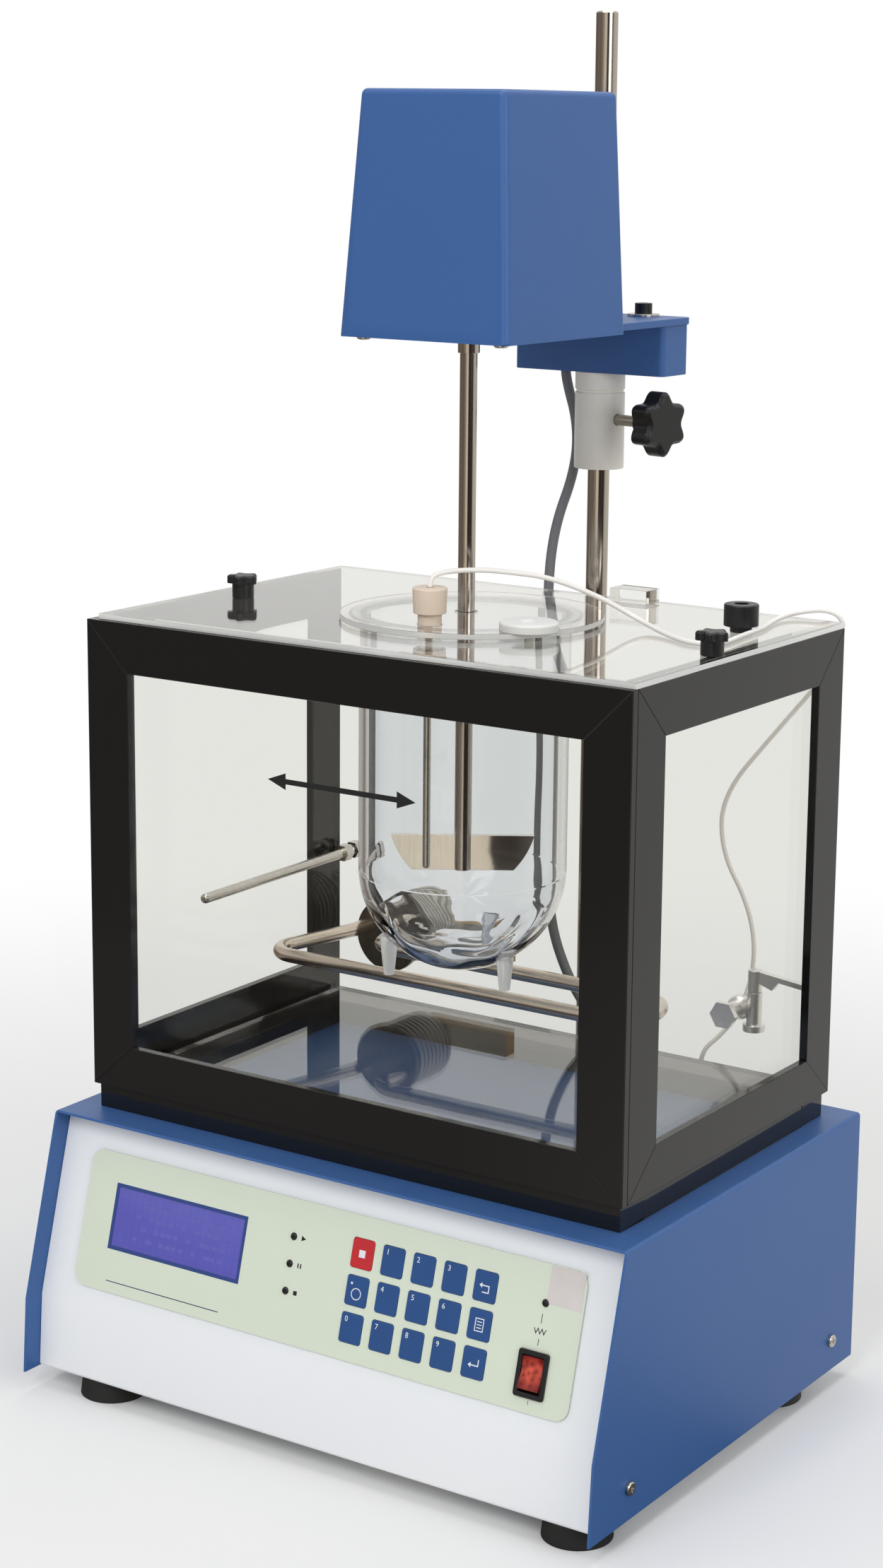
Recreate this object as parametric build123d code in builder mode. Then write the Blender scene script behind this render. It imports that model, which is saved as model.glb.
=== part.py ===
from build123d import *
from math import acos, atan, cos, pi, radians, sin, tan
import os

os.makedirs("parts", exist_ok=True)

# A bench tester for tablets: a cabinet with the controls, a heated water bath on top of it,
# a round-bottomed vessel hung in the bath's lid, and a stirring head on a rear rod.
# Millimetres. X to the right, Y to the back, Z up, origin on the bench under the middle.

# Cabinet
base_width = 378
base_top = 160
base_back = 131.5
foot_height = 12
cheek_top_front = -128.4
cheek_kink_front = -157
cheek_kink_height = 55.4
cheek_bottom_front = -160
panel_recess = 12
panel_bend = 8
cover_sheet = 1.5
cover_edge_radius = 2.2
chassis_sheet = 1.2
sheet_gap = 0.2
flange_height = 32
flange_setback = 8

# Rubber feet
foot_top_radius = 17.5
foot_bottom_radius = 19
foot_left_x = -148
foot_right_x = 163
foot_front_y = -129
foot_back_y = 79
foot_screw_radius = 5
foot_screw_depth = 5

# Screws in the cheeks
screw_head_radius = 3.7
screw_head_height = 2.4
screw_shank_radius = 2
screw_shank_length = 9
screw_slot = 1
screw_places = [(103.1, 30.8), (-122.2, 30.2)]

# Control panel, measured down the slope from the top corner of the white sheet
overlay_width = 329
overlay_height = 77.4
overlay_x = -0.5
overlay_down = 58.8
overlay_corner = 8
overlay_thickness = 1.5
panel_clearance = 0.15
window_width = 90
window_height = 34.2
window_x = -98
window_down = 54.9
lens_thickness = 2.4
lamp_radius = 2
lamp_length = 7
lamp_x = -19.8
lamp_down = 40.3
lamp_pitch = 14.8
heater_lamp_x = 141.2
key_width = 14
key_height = 16
key_corner = 1.6
key_thickness = 1.5
key_raise = 0.5
key_chamfer = 0.3
key_first_x = 26
key_first_down = 40
key_pitch_x = 19.6
key_pitch_down = 20

# Rocker switch
bezel_width = 18.2
bezel_height = 24.5
bezel_lip = 1.5
bezel_depth = 18
bezel_wall = 1.5
bezel_step = 1.1
bezel_x = 139.85
bezel_down = 77.55
rocker_gap = 0.2
rocker_tilt = 7
rocker_pivot_depth = 1
rocker_pin_radius = 1.2
rocker_end_rise = 4.8
rocker_middle_rise = 3.4
rocker_bottom_drop = 4
rocker_travel_gap = 1.2

# Boards behind the panel and on the floor of the cabinet
board_thickness = 1.6
board_width = 268
board_height = 60
board_x = -16
board_down = 60
standoff_length = 8
standoff_radius = 3
standoff_inset = 5
module_border = 4
power_board_x = 100
power_board_y = 10
power_board_width = 110
power_board_depth = 84
relay_size = (28, 22, 18)
heat_sink_width = 60
heat_sink_height = 30
heat_sink_depth = 24
heat_sink_fin = 2.4
heat_sink_fins = 7

# Transformer
transformer_x = -95
transformer_y = 30
limb = 12.7
core_stack = 34
core_window_height = 38.1
coil_clearance = 0.15
coil_overhang = 11

# Mains inlet, fuse and cable glands
inlet_x = -120
inlet_z = 62
inlet_flange_width = 48
inlet_flange_height = 24
inlet_body_width = 27.6
inlet_body_height = 20
inlet_depth = 18
inlet_wall = 2
inlet_lip = 2.5
inlet_pin_pitch = 7
fuse_x = -160
fuse_radius = 6.5
fuse_length = 9
gland_radius = 5.5
gland_height = 8
gland_shank_radius = 4
gland_y = 124.3
motor_gland_x = 14
probe_gland_x = 86
vent_width = 3
vent_height = 26
vent_pitch = 8
vent_count = 9
vent_x = 110
vent_z = 96

# Water bath
tank_width = 350
tank_front = -111
tank_back = 117
tank_bottom = 174
tank_height = 267.6
strip_thickness = 5
strip_side = 28.2
strip_top = 28.1
strip_bottom = 25.2
pane_thickness = 5
plinth_inset = 2.5
plinth_bar = 24
floor_thickness = 5
clear_gap = 0.1
lid_thickness = 3
lid_left_setback = 6
lid_front_setback = 3
lid_seat_depth = 1.5
lid_block_x = 52
lid_block_y = 96.5
lid_block_size = (24, 15, 10)

# Vessel, its cover and what hangs in it
shaft_y = 3
vessel_radius = 58.25
vessel_wall = 3.5
vessel_bottom = 245.8
vessel_clearance = 0.75
rim_radius = 63.5
rim_thickness = 2
vessel_foot_circle = 41
vessel_foot_radius = 3
vessel_foot_length = 23
vessel_foot_below = 4
vessel_foot_taper = 6
vessel_foot_angle = 99.5
cover_radius = 73
cover_thickness = 3
cover_x = 4
cover_shaft_hole = 6
stopper_x = 8
stopper_y = -44
stopper_radius = 9.5
stopper_height = 14
stopper_stem_radius = 6.5
stopper_stem_length = 6
stopper_taper = 0.6
fit = 0.05
seat_gap = 0.1
probe_radius = 2
probe_tip = 314
plug_x = 61
plug_y = -28
plug_radius = 16
plug_height = 5
plug_dimple_radius = 5
plug_stem_radius = 2.3
plug_stem_length = 12
plug_gap = 0.4

# Lid knobs and the filler cap
left_knob_inset = 27.6
left_knob_y = -14.8
right_knob_inset = 9
right_knob_y = -16.8
lid_knob_radius = 9
lid_knob_lobes = 5
lid_knob_head = 5
lid_knob_stem_radius = 6.2
lid_knob_stem = 8
lid_knob_stud_radius = 3
filler_inset = 32
filler_y = 56
filler_radius = 9.5
filler_head = 12
filler_neck_radius = 6
filler_neck = 3.4
filler_bore = 4
filler_bore_depth = 9

# Heater
heater_inset = 39
heater_z = 219
heater_leg_z = 224
heater_leg_spacing = 28
heater_tube_radius = 4.25
heater_left_inset = 8
heater_front_y = 24
heater_right_inset = 67
heater_back_y = 72
heater_bend = 16
heater_flange_radius = 22.7
heater_flange = 4
heater_boss_radius = 12
heater_cap_radius = 21
heater_cap_end = 150
heater_rib_count = 7
heater_rib_depth = 1.6
terminal_width = 62
terminal_z = 209
terminal_height = 16
terminal_end = 160

# Bath sensor
sensor_inset = 6
sensor_z = 267
sensor_radius = 3
sensor_tip_y = -30.5
sensor_nut_radius = 5.5
sensor_nut = 7
sensor_boss_radius = 3.5

# Drain cock on the outside of the back pane
drain_inset = 57
drain_z = 209.5
drain_y = 130
drain_ball_radius = 7.5
drain_spigot_radius = 5
drain_nut_radius = 8.5
drain_nut = 4
drain_stem_offset = 9.5
drain_stem_radius = 4.5
drain_stem_bottom = 197
drain_stem_top = 220.5
drain_outlet_radius = 6.5
drain_outlet = 4
lever_hub_top = 233.7
lever_gap = 0.3
lever_reach = 32
lever_width = 4
lever_height = 3.4
lever_web_drop = 7

# Rod and its bracket
rod_radius = 6.35
rod_y = 140.5
rod_top = 774.4
rod_foot = 44
rod_chamfer = 0.8
bracket_width = 44
bracket_back = 151
bracket_bottom = 40
bracket_top = 130
bracket_screw_radius = 4
bracket_screw_head = 2.5

# Arm
collar_radius = 14.5
collar_bottom = 515.5
collar_top = 571.6
collar_groove_z = 560.5
collar_groove_width = 1.6
collar_groove_depth = 0.8
beam_width = 100
beam_depth = 28.5
beam_top = 600.3
beam_corner = 3
grommet_x = -27
grommet_y = 146
grommet_radius = 4.6
grommet_lip = 1.5
plate_thickness = 4
plate_width = 104
plate_back = 155
plate_corner = 5
arm_screw_x = 28
arm_screw_radius = 3
arm_screw_head_radius = 5
arm_screw_head = 6
arm_screw_socket = 2.5
arm_screw_length = 20
washer_radius = 9.25
washer_thickness = 1.6
head_screw_radius = 4
head_screw_inset = 8
head_screw_head = 3.2

# Clamp knob
clamp_z = 544.4
clamp_azimuth = -12
clamp_stud_radius = 3.2
clamp_stud_start = 6.6
clamp_knob_start = 33
clamp_hub_radius = 8
clamp_hub = 7
clamp_knob_radius = 18.5
clamp_knob_thickness = 13
clamp_knob_lobes = 6

# Head housing
head_bottom = 599
head_top = 729
head_left = -51
head_right = 57
head_front = -47
head_back = 73
head_lean = 8
head_wall = 1.5
head_corner = 4
head_top_radius = 3.5
head_tab = 14
head_tab_thickness = 2

# Drive inside the head
gear_module = 1.25
pressure_angle = 25
spindle_teeth = 36
pinion_teeth = 12
gear_backlash = 0.12
gear_bottom = 614
gear_thickness = 8
spindle_radius = 4
spindle_top = 640
gear_hub_radius = 9
gear_hub = 4
web_hole_radius = 3.2
web_hole_circle = 14.5
bearing_radius = 11
bearing_height = 7
bearing_groove = 0.5
bearing_boss_radius = 15
bearing_boss = 4
bracket_plate_z = 630
bracket_plate = 5
bracket_plate_x = 32
bracket_plate_front = -16
bracket_plate_back = 60
post_radius = 4
post_x = 27
post_inset = 5
gearbox_radius = 18.5
gearbox_height = 22
motor_can_radius = 17.5
motor_can_height = 45
pinion_shaft_radius = 3
pinion_shaft_top = 645
pinion_shaft_bottom = 609

# Paddle and its coupling
shaft_radius = 4.75
shaft_bottom = 302.4
shaft_top = 597.5
coupling_radius = 6
coupling_bottom = 590
coupling_top = 599.9
blade_top_width = 80
blade_bottom_width = 57
blade_height = 20
blade_thickness = 4
blade_azimuth = 33
blade_edge_bow = 1.6

# Cables
motor_cable_radius = 3
probe_cable_radius = 1.4

# Sizes that follow from the ones above
lid_bottom = tank_bottom + tank_height + clear_gap
lid_top = lid_bottom + lid_thickness
rim_top = lid_top - lid_seat_depth + clear_gap + rim_thickness
cover_bottom = rim_top + clear_gap
cover_top = cover_bottom + cover_thickness
stopper_bottom = cover_top + stopper_stem_length
stopper_top = stopper_bottom + stopper_height
plate_top = beam_top + plate_thickness
pane_left = -tank_width / 2 + strip_thickness
pane_front = tank_front + strip_thickness
pane_inner_x = -pane_left - pane_thickness
heater_x = heater_inset - pane_inner_x
heater_left_x = heater_left_inset - pane_inner_x
heater_right_x = pane_inner_x - heater_right_inset
sensor_x = sensor_inset - pane_inner_x
drain_x = pane_inner_x - drain_inset
lid_left = lid_left_setback - tank_width / 2
lid_right = tank_width / 2
lid_front = tank_front + lid_front_setback
left_knob_x = lid_left + left_knob_inset
right_knob_x = lid_right - right_knob_inset
filler_x = lid_right - filler_inset
panel_lean = (cheek_top_front - cheek_kink_front) / (base_top - cheek_kink_height)
panel_angle = atan(panel_lean)
chassis_width = base_width - 2 * cover_sheet - 2 * sheet_gap
chassis_top = base_top - cover_sheet
floor_top = foot_height + chassis_sheet
drain_stem_x = drain_x + drain_stem_offset
centre_distance = gear_module * (spindle_teeth + pinion_teeth) / 2
pinion_y = shaft_y + centre_distance

# The panel plane lies on the white sheet: x across, y up the slope, z out to the front
panel = Plane(
    origin=(0, cheek_top_front + panel_recess, base_top),
    x_dir=(1, 0, 0),
    z_dir=(0, -cos(panel_angle), sin(panel_angle)),
)
window_place = (window_x, -window_down)
bezel_place = (bezel_x, -bezel_down)
lamp_places = [(lamp_x, -lamp_down - lamp_pitch * row) for row in range(3)]
lamp_places.append((heater_lamp_x, -lamp_down))

key_rows = [
    ["key_stop", "key_1", "key_2", "key_3", "key_return"],
    ["key_dot", "key_4", "key_5", "key_6", "key_page"],
    ["key_0", "key_7", "key_8", "key_9", "key_enter"],
]
key_places = {}
for row, names in enumerate(key_rows):
    for column, key_name in enumerate(names):
        key_x = key_first_x + column * key_pitch_x
        key_down = key_first_down + row * key_pitch_down
        key_places[key_name] = (key_x, -key_down)


def save(name, *pieces):
    """Label a finished sub-part and write it. Several pieces stay separate solids."""
    parts = [piece.part for piece in pieces]
    if len(parts) == 1:
        node = parts[0]
    else:
        node = Compound(children=parts)
    node.label = name
    export_step(node, f"parts/{name}.step")


def upright(x, y, z=0):
    """A level plane at a point, for round pieces that stand upright."""
    return Plane(origin=(x, y, z))


def facing_back(x, y, z):
    """A plane that faces +Y at a point, with x across and y up, for pieces along Y."""
    return Plane(origin=(x, y, z), x_dir=(-1, 0, 0), z_dir=(0, 1, 0))


# Folded white chassis: front slope, bottom and back of one sheet, with side flanges
chassis_front = cheek_top_front + panel_recess - panel_lean * cover_sheet
with BuildPart() as chassis:
    with BuildSketch(Plane.YZ) as chassis_profile:
        with BuildLine():
            Polyline(
                (chassis_front, chassis_top),
                (cheek_kink_front + panel_recess, cheek_kink_height),
                (cheek_bottom_front + panel_recess, foot_height),
                (base_back, foot_height),
                (base_back, chassis_top),
                close=True,
            )
        make_face()
        top_corners = chassis_profile.vertices().group_by(Axis.Y)[-1].sort_by(Axis.X)
        fillet(top_corners[0], panel_bend)
        bottom_corners = chassis_profile.vertices().group_by(Axis.Y)[0]
        fillet(bottom_corners, 2 * chassis_sheet)
        offset(amount=-chassis_sheet, mode=Mode.SUBTRACT)
        with Locations(((chassis_front + base_back) / 2, chassis_top)):
            opening_length = base_back - chassis_front - 2 * (panel_bend + 2 * chassis_sheet)
            Rectangle(opening_length, 4 * chassis_sheet, mode=Mode.SUBTRACT)
    extrude(amount=chassis_width / 2, both=True)
    flange_front = cheek_bottom_front + panel_recess + flange_setback
    flange_back = base_back - flange_setback
    with BuildSketch(Plane.YZ):
        with Locations(((flange_front + flange_back) / 2, foot_height + flange_height / 2)):
            Rectangle(flange_back - flange_front, flange_height)
    extrude(amount=chassis_width / 2, both=True)
    with BuildSketch(Plane.XY.offset(floor_top)):
        with Locations((0, (flange_front + flange_back) / 2)):
            Rectangle(chassis_width - 2 * chassis_sheet, flange_back - flange_front + 1)
    extrude(amount=flange_height, mode=Mode.SUBTRACT)
    # holes for the window, the lamps and the rocker
    with BuildSketch(panel):
        with Locations(window_place):
            Rectangle(window_width + 2 * panel_clearance, window_height + 2 * panel_clearance)
        with Locations(*lamp_places):
            Circle(lamp_radius + seat_gap)
        with Locations(bezel_place):
            Rectangle(
                bezel_width - 2 * bezel_step + 2 * panel_clearance,
                bezel_height - 2 * bezel_step + 2 * panel_clearance,
            )
    extrude(amount=-3 * chassis_sheet, mode=Mode.SUBTRACT)
    # holes in the back: the inlet, the fuse and a row of vents
    with BuildSketch(Plane(origin=(0, base_back, 0), x_dir=(1, 0, 0), z_dir=(0, -1, 0))):
        with Locations((inlet_x, inlet_z)):
            Rectangle(
                inlet_body_width + 2 * panel_clearance,
                inlet_body_height + 2 * panel_clearance,
            )
        with Locations((fuse_x, inlet_z)):
            Circle(gland_shank_radius + seat_gap)
        with Locations((vent_x, vent_z)):
            with GridLocations(vent_pitch, 1, vent_count, 1):
                SlotOverall(vent_height, vent_width, rotation=90)
    extrude(amount=3 * chassis_sheet, mode=Mode.SUBTRACT)
    # holes for the cable glands and the cheek screws
    with BuildSketch(Plane.XY.offset(chassis_top)):
        with Locations((motor_gland_x, gland_y), (probe_gland_x, gland_y)):
            Circle(gland_shank_radius + seat_gap)
    extrude(amount=-2 * chassis_sheet, mode=Mode.SUBTRACT)
    with BuildSketch(Plane.YZ):
        with Locations(*screw_places):
            Circle(screw_shank_radius + seat_gap)
    extrude(amount=base_width, both=True, mode=Mode.SUBTRACT)
save("chassis", chassis)

# Blue cover: the top and both cheeks of one sheet, open at the front, back and bottom
with BuildPart() as base_cover:
    with BuildSketch(Plane.YZ):
        with BuildLine():
            Polyline(
                (cheek_top_front, base_top),
                (cheek_kink_front, cheek_kink_height),
                (cheek_bottom_front, foot_height),
                (base_back, foot_height),
                (base_back, base_top),
                close=True,
            )
        make_face()
    extrude(amount=base_width / 2, both=True)
    long_edges = base_cover.edges().filter_by(Axis.Y).group_by(Axis.Z)[-1]
    fillet(long_edges, cover_edge_radius)
    with BuildSketch(Plane.YZ):
        with Locations((0, chassis_top / 2)):
            Rectangle(2 * base_width, chassis_top)
    extrude(amount=base_width / 2 - cover_sheet, both=True, mode=Mode.SUBTRACT)
    with BuildSketch(Plane.YZ):
        with Locations(*screw_places):
            Circle(screw_shank_radius + seat_gap)
    extrude(amount=base_width, both=True, mode=Mode.SUBTRACT)
    with BuildSketch(Plane.XY.offset(base_top)):
        with Locations((motor_gland_x, gland_y), (probe_gland_x, gland_y)):
            Circle(gland_shank_radius + seat_gap)
    extrude(amount=-2 * cover_sheet, mode=Mode.SUBTRACT)
save("base_cover", base_cover)


def rubber_foot(x, y):
    """A tapered foot with a sunk screw hole in its underside."""
    with BuildPart() as foot:
        with BuildSketch(upright(x, y)) as foot_bottom:
            Circle(foot_bottom_radius)
        with BuildSketch(upright(x, y, foot_height)) as foot_top:
            Circle(foot_top_radius)
        loft()
        with BuildSketch(upright(x, y)):
            Circle(foot_screw_radius)
        extrude(amount=foot_screw_depth, mode=Mode.SUBTRACT)
    return foot


foot_places = [(x, y) for x in (foot_left_x, foot_right_x) for y in (foot_front_y, foot_back_y)]
save("rubber_feet", *[rubber_foot(x, y) for x, y in foot_places])


def cheek_screw(side, place):
    """A pan-head screw with a cross recess, through a cheek and the chassis flange."""
    out = Plane(origin=(side * base_width / 2, *place), x_dir=(0, 1, 0), z_dir=(side, 0, 0))
    with BuildPart() as screw:
        with BuildSketch(out):
            Circle(screw_head_radius)
        extrude(amount=screw_head_height)
        fillet(screw.faces().sort_by(Axis.X)[-1 if side > 0 else 0].edges(), screw_slot)
        with BuildSketch(out.offset(screw_head_height)):
            Rectangle(screw_head_radius, screw_slot)
            Rectangle(screw_slot, screw_head_radius)
        extrude(amount=-screw_slot, mode=Mode.SUBTRACT)
        with BuildSketch(out):
            Circle(screw_shank_radius)
        extrude(amount=-screw_shank_length)
    return screw


cheek_screws = [cheek_screw(side, place) for side in (-1, 1) for place in screw_places]
save("cover_screws", *cheek_screws)

# Membrane overlay with an opening for every key, lamp, the display and the rocker
with BuildPart() as membrane_overlay:
    with BuildSketch(panel):
        with Locations((overlay_x, -overlay_down)):
            RectangleRounded(overlay_width, overlay_height, overlay_corner)
        with Locations(window_place):
            Rectangle(
                window_width + 2 * panel_clearance,
                window_height + 2 * panel_clearance,
                mode=Mode.SUBTRACT,
            )
        with Locations(*lamp_places):
            Circle(lamp_radius + seat_gap, mode=Mode.SUBTRACT)
        with Locations(bezel_place):
            Rectangle(
                bezel_width - 2 * bezel_step + 2 * panel_clearance,
                bezel_height - 2 * bezel_step + 2 * panel_clearance,
                mode=Mode.SUBTRACT,
            )
        with Locations(*key_places.values()):
            RectangleRounded(
                key_width + 2 * panel_clearance,
                key_height + 2 * panel_clearance,
                key_corner + panel_clearance,
                mode=Mode.SUBTRACT,
            )
    extrude(amount=overlay_thickness)
save("membrane_overlay", membrane_overlay)

# Display window and lamp lenses
with BuildPart() as display_lens:
    with BuildSketch(panel.offset(-chassis_sheet)):
        with Locations(window_place):
            Rectangle(window_width, window_height)
    extrude(amount=lens_thickness)


def lamp_lens(place):
    """A round lens with a domed end that stands through the overlay."""
    with BuildPart() as lamp:
        with BuildSketch(panel.offset(overlay_thickness)):
            with Locations(place):
                Circle(lamp_radius)
        extrude(amount=-lamp_length)
        with BuildSketch(panel.offset(overlay_thickness)):
            with Locations(place):
                Circle(lamp_radius)
        extrude(amount=lamp_radius / 2, taper=30)
    return lamp


save("panel_lenses", display_lens, *[lamp_lens(place) for place in lamp_places])


def make_key(place):
    """A flat key that stands proud in its opening of the overlay."""
    with BuildPart() as key:
        with BuildSketch(panel.offset(key_raise)):
            with Locations(place):
                RectangleRounded(key_width, key_height, key_corner)
        extrude(amount=key_thickness)
        chamfer(key.faces().sort_by(Axis(panel.origin, panel.z_dir))[-1].edges(), key_chamfer)
    return key


for key_name, key_place in key_places.items():
    save(key_name, make_key(key_place))

# Rocker switch housing: a lip on the overlay, a box behind it and a well for the rocker
bezel_plane = panel.offset(overlay_thickness)
well_width = bezel_width - 2 * bezel_step - 2 * bezel_wall
well_height = bezel_height - 2 * bezel_step - 2 * bezel_wall
with BuildPart() as rocker_bezel:
    with BuildSketch(bezel_plane):
        with Locations(bezel_place):
            RectangleRounded(bezel_width, bezel_height, bezel_lip)
    extrude(amount=bezel_lip)
    with BuildSketch(bezel_plane):
        with Locations(bezel_place):
            Rectangle(bezel_width - 2 * bezel_step, bezel_height - 2 * bezel_step)
    extrude(amount=-bezel_depth)
    with BuildSketch(bezel_plane.offset(bezel_lip)):
        with Locations(bezel_place):
            Rectangle(well_width, well_height)
    extrude(amount=-bezel_depth / 2 - bezel_lip, mode=Mode.SUBTRACT)
    pivot = panel.from_local_coords(Vector(bezel_x, -bezel_down, -rocker_pivot_depth))
    with BuildSketch(Plane(origin=pivot, x_dir=panel.y_dir, z_dir=(1, 0, 0))):
        Circle(rocker_pin_radius + fit)
    extrude(amount=bezel_width / 2 - bezel_step, both=True, mode=Mode.SUBTRACT)
    with BuildSketch(bezel_plane.offset(-bezel_depth)):
        with Locations(bezel_place):
            with GridLocations(1, well_height / 2, 1, 2):
                Rectangle(well_width / 2, screw_slot)
    extrude(amount=-bezel_depth / 3)
save("rocker_bezel", rocker_bezel)

# Rocker: two flat halves that meet in a shallow V, turned about its pin
rocker_half = well_height / 2 - rocker_travel_gap
rocker_turn = radians(rocker_tilt)
rocker_up = panel.y_dir * cos(rocker_turn) - panel.z_dir * sin(rocker_turn)
rocker_plane = Plane(origin=pivot, x_dir=rocker_up, z_dir=(1, 0, 0))
with BuildPart() as rocker:
    with BuildSketch(rocker_plane):
        with BuildLine():
            Polyline(
                (-rocker_half, rocker_end_rise),
                (0, rocker_middle_rise),
                (rocker_half, rocker_end_rise),
                (rocker_half, 0),
                (rocker_half / 2, -rocker_bottom_drop),
                (-rocker_half / 2, -rocker_bottom_drop),
                (-rocker_half, 0),
                close=True,
            )
        make_face()
    extrude(amount=well_width / 2 - rocker_gap, both=True)
    with BuildSketch(rocker_plane):
        Circle(rocker_pin_radius)
    extrude(amount=well_width / 2 + bezel_wall - rocker_gap, both=True)
save("rocker", rocker)

# Board behind the panel, hung on standoffs, with the display module in front
board_front = panel.offset(-chassis_sheet - standoff_length)
with BuildPart() as panel_board:
    with BuildSketch(board_front):
        with Locations((board_x, -board_down)):
            Rectangle(board_width, board_height)
    extrude(amount=-board_thickness)
    with BuildSketch(board_front):
        with Locations((board_x, -board_down)):
            with GridLocations(
                board_width - 2 * standoff_inset, board_height - 2 * standoff_inset, 2, 2
            ):
                Circle(standoff_radius)
        with Locations(window_place):
            Rectangle(window_width + 2 * module_border, window_height + 2 * module_border)
    extrude(amount=standoff_length)

# Power board on the floor, with two relays and a finned heat sink
power_plane = upright(power_board_x, power_board_y, floor_top + standoff_length)
with BuildPart() as power_board:
    with BuildSketch(power_plane):
        Rectangle(power_board_width, power_board_depth)
    extrude(amount=board_thickness)
    with BuildSketch(power_plane):
        with GridLocations(
            power_board_width - 2 * standoff_inset, power_board_depth - 2 * standoff_inset, 2, 2
        ):
            Circle(standoff_radius)
    extrude(amount=-standoff_length)
    with BuildSketch(power_plane.offset(board_thickness)):
        with GridLocations(2 * relay_size[0], 1, 2, 1):
            with Locations((0, -relay_size[1])):
                Rectangle(relay_size[0], relay_size[1])
    extrude(amount=relay_size[2])
    with BuildSketch(power_plane.offset(board_thickness)):
        with Locations((0, relay_size[1])):
            Rectangle(heat_sink_width, heat_sink_fin)
            fin_pitch = (heat_sink_width - heat_sink_fin) / (heat_sink_fins - 1)
            with GridLocations(fin_pitch, 1, heat_sink_fins, 1):
                Rectangle(heat_sink_fin, heat_sink_depth)
    extrude(amount=heat_sink_height)
save("circuit_boards", panel_board, power_board)

# Transformer: a laminated core with two windows and a coil on its middle limb
core_height = core_window_height + 2 * limb
core_plane = Plane(
    origin=(transformer_x, transformer_y, floor_top), x_dir=(1, 0, 0), z_dir=(0, -1, 0)
)
with BuildPart() as core:
    with BuildSketch(core_plane):
        with Locations((0, core_height / 2)):
            Rectangle(6 * limb, core_height)
            with GridLocations(3 * limb, 1, 2, 1):
                Rectangle(limb, core_window_height, mode=Mode.SUBTRACT)
    extrude(amount=core_stack / 2, both=True)
with BuildPart() as coil:
    with BuildSketch(upright(transformer_x, transformer_y, floor_top + limb + coil_clearance)):
        RectangleRounded(
            4 * limb - 2 * coil_clearance, core_stack + 2 * coil_overhang, coil_overhang / 2
        )
        Rectangle(
            2 * limb + 2 * coil_clearance, core_stack + 2 * coil_clearance, mode=Mode.SUBTRACT
        )
    extrude(amount=core_window_height - 2 * coil_clearance)
save("transformer", core, coil)

# Mains inlet: a flanged socket in the back with a well and three pins
inlet_plane = facing_back(inlet_x, base_back, inlet_z)
with BuildPart() as mains_inlet:
    with BuildSketch(inlet_plane):
        RectangleRounded(inlet_flange_width, inlet_flange_height, inlet_flange_height / 4)
    extrude(amount=inlet_lip)
    with BuildSketch(inlet_plane):
        Rectangle(inlet_body_width, inlet_body_height)
    extrude(amount=-inlet_depth)
    with BuildSketch(inlet_plane.offset(inlet_lip)):
        RectangleRounded(
            inlet_body_width - 2 * inlet_wall, inlet_body_height - 2 * inlet_wall, inlet_wall
        )
    extrude(amount=-inlet_depth, mode=Mode.SUBTRACT)
    with BuildSketch(inlet_plane.offset(-inlet_depth)):
        with Locations((-inlet_pin_pitch, 0), (0, inlet_wall), (inlet_pin_pitch, 0)):
            Rectangle(inlet_wall, 2 * inlet_wall)
    extrude(amount=inlet_depth - inlet_lip)
with BuildPart() as fuse_holder:
    with BuildSketch(facing_back(fuse_x, base_back, inlet_z)):
        Circle(fuse_radius)
    extrude(amount=fuse_length)
    fillet(fuse_holder.faces().sort_by(Axis.Y)[-1].edges(), screw_slot)
    with BuildSketch(facing_back(fuse_x, base_back, inlet_z)):
        Circle(gland_shank_radius)
    extrude(amount=-inlet_depth)


def cable_gland(x, cable_radius):
    """A domed gland on the cabinet's top strip, with the cable's bore in its top."""
    with BuildPart() as gland:
        with BuildSketch(upright(x, gland_y, base_top)):
            RegularPolygon(gland_radius, 6)
        extrude(amount=gland_height / 2)
        with BuildSketch(upright(x, gland_y, base_top + gland_height / 2)):
            Circle(gland_radius - 1)
        extrude(amount=gland_height / 2, taper=8)
        with BuildSketch(upright(x, gland_y, base_top)):
            Circle(gland_shank_radius)
        extrude(amount=-gland_height)
    return gland


motor_gland = cable_gland(motor_gland_x, motor_cable_radius)
probe_gland = cable_gland(probe_gland_x, probe_cable_radius)
save("rear_connectors", mains_inlet, fuse_holder, motor_gland, probe_gland)


def plinth_bar_piece(x_size, y_size, x, y):
    """One bar of the black plinth under the bath."""
    with BuildPart() as bar:
        with BuildSketch(upright(x, y, base_top)):
            Rectangle(x_size, y_size)
        extrude(amount=tank_bottom - base_top)
    return bar


# Plinth: four bars that carry the panes and the floor
plinth_width = tank_width - 2 * plinth_inset
plinth_front = tank_front + plinth_inset
plinth_back = tank_back - plinth_inset
plinth_middle = (plinth_front + plinth_back) / 2
plinth_side = plinth_back - plinth_front - 2 * plinth_bar
save(
    "tank_plinth",
    plinth_bar_piece(plinth_width, plinth_bar, 0, plinth_front + plinth_bar / 2),
    plinth_bar_piece(plinth_width, plinth_bar, 0, plinth_back - plinth_bar / 2),
    plinth_bar_piece(plinth_bar, plinth_side, -(plinth_width - plinth_bar) / 2, plinth_middle),
    plinth_bar_piece(plinth_bar, plinth_side, (plinth_width - plinth_bar) / 2, plinth_middle),
)

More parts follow.
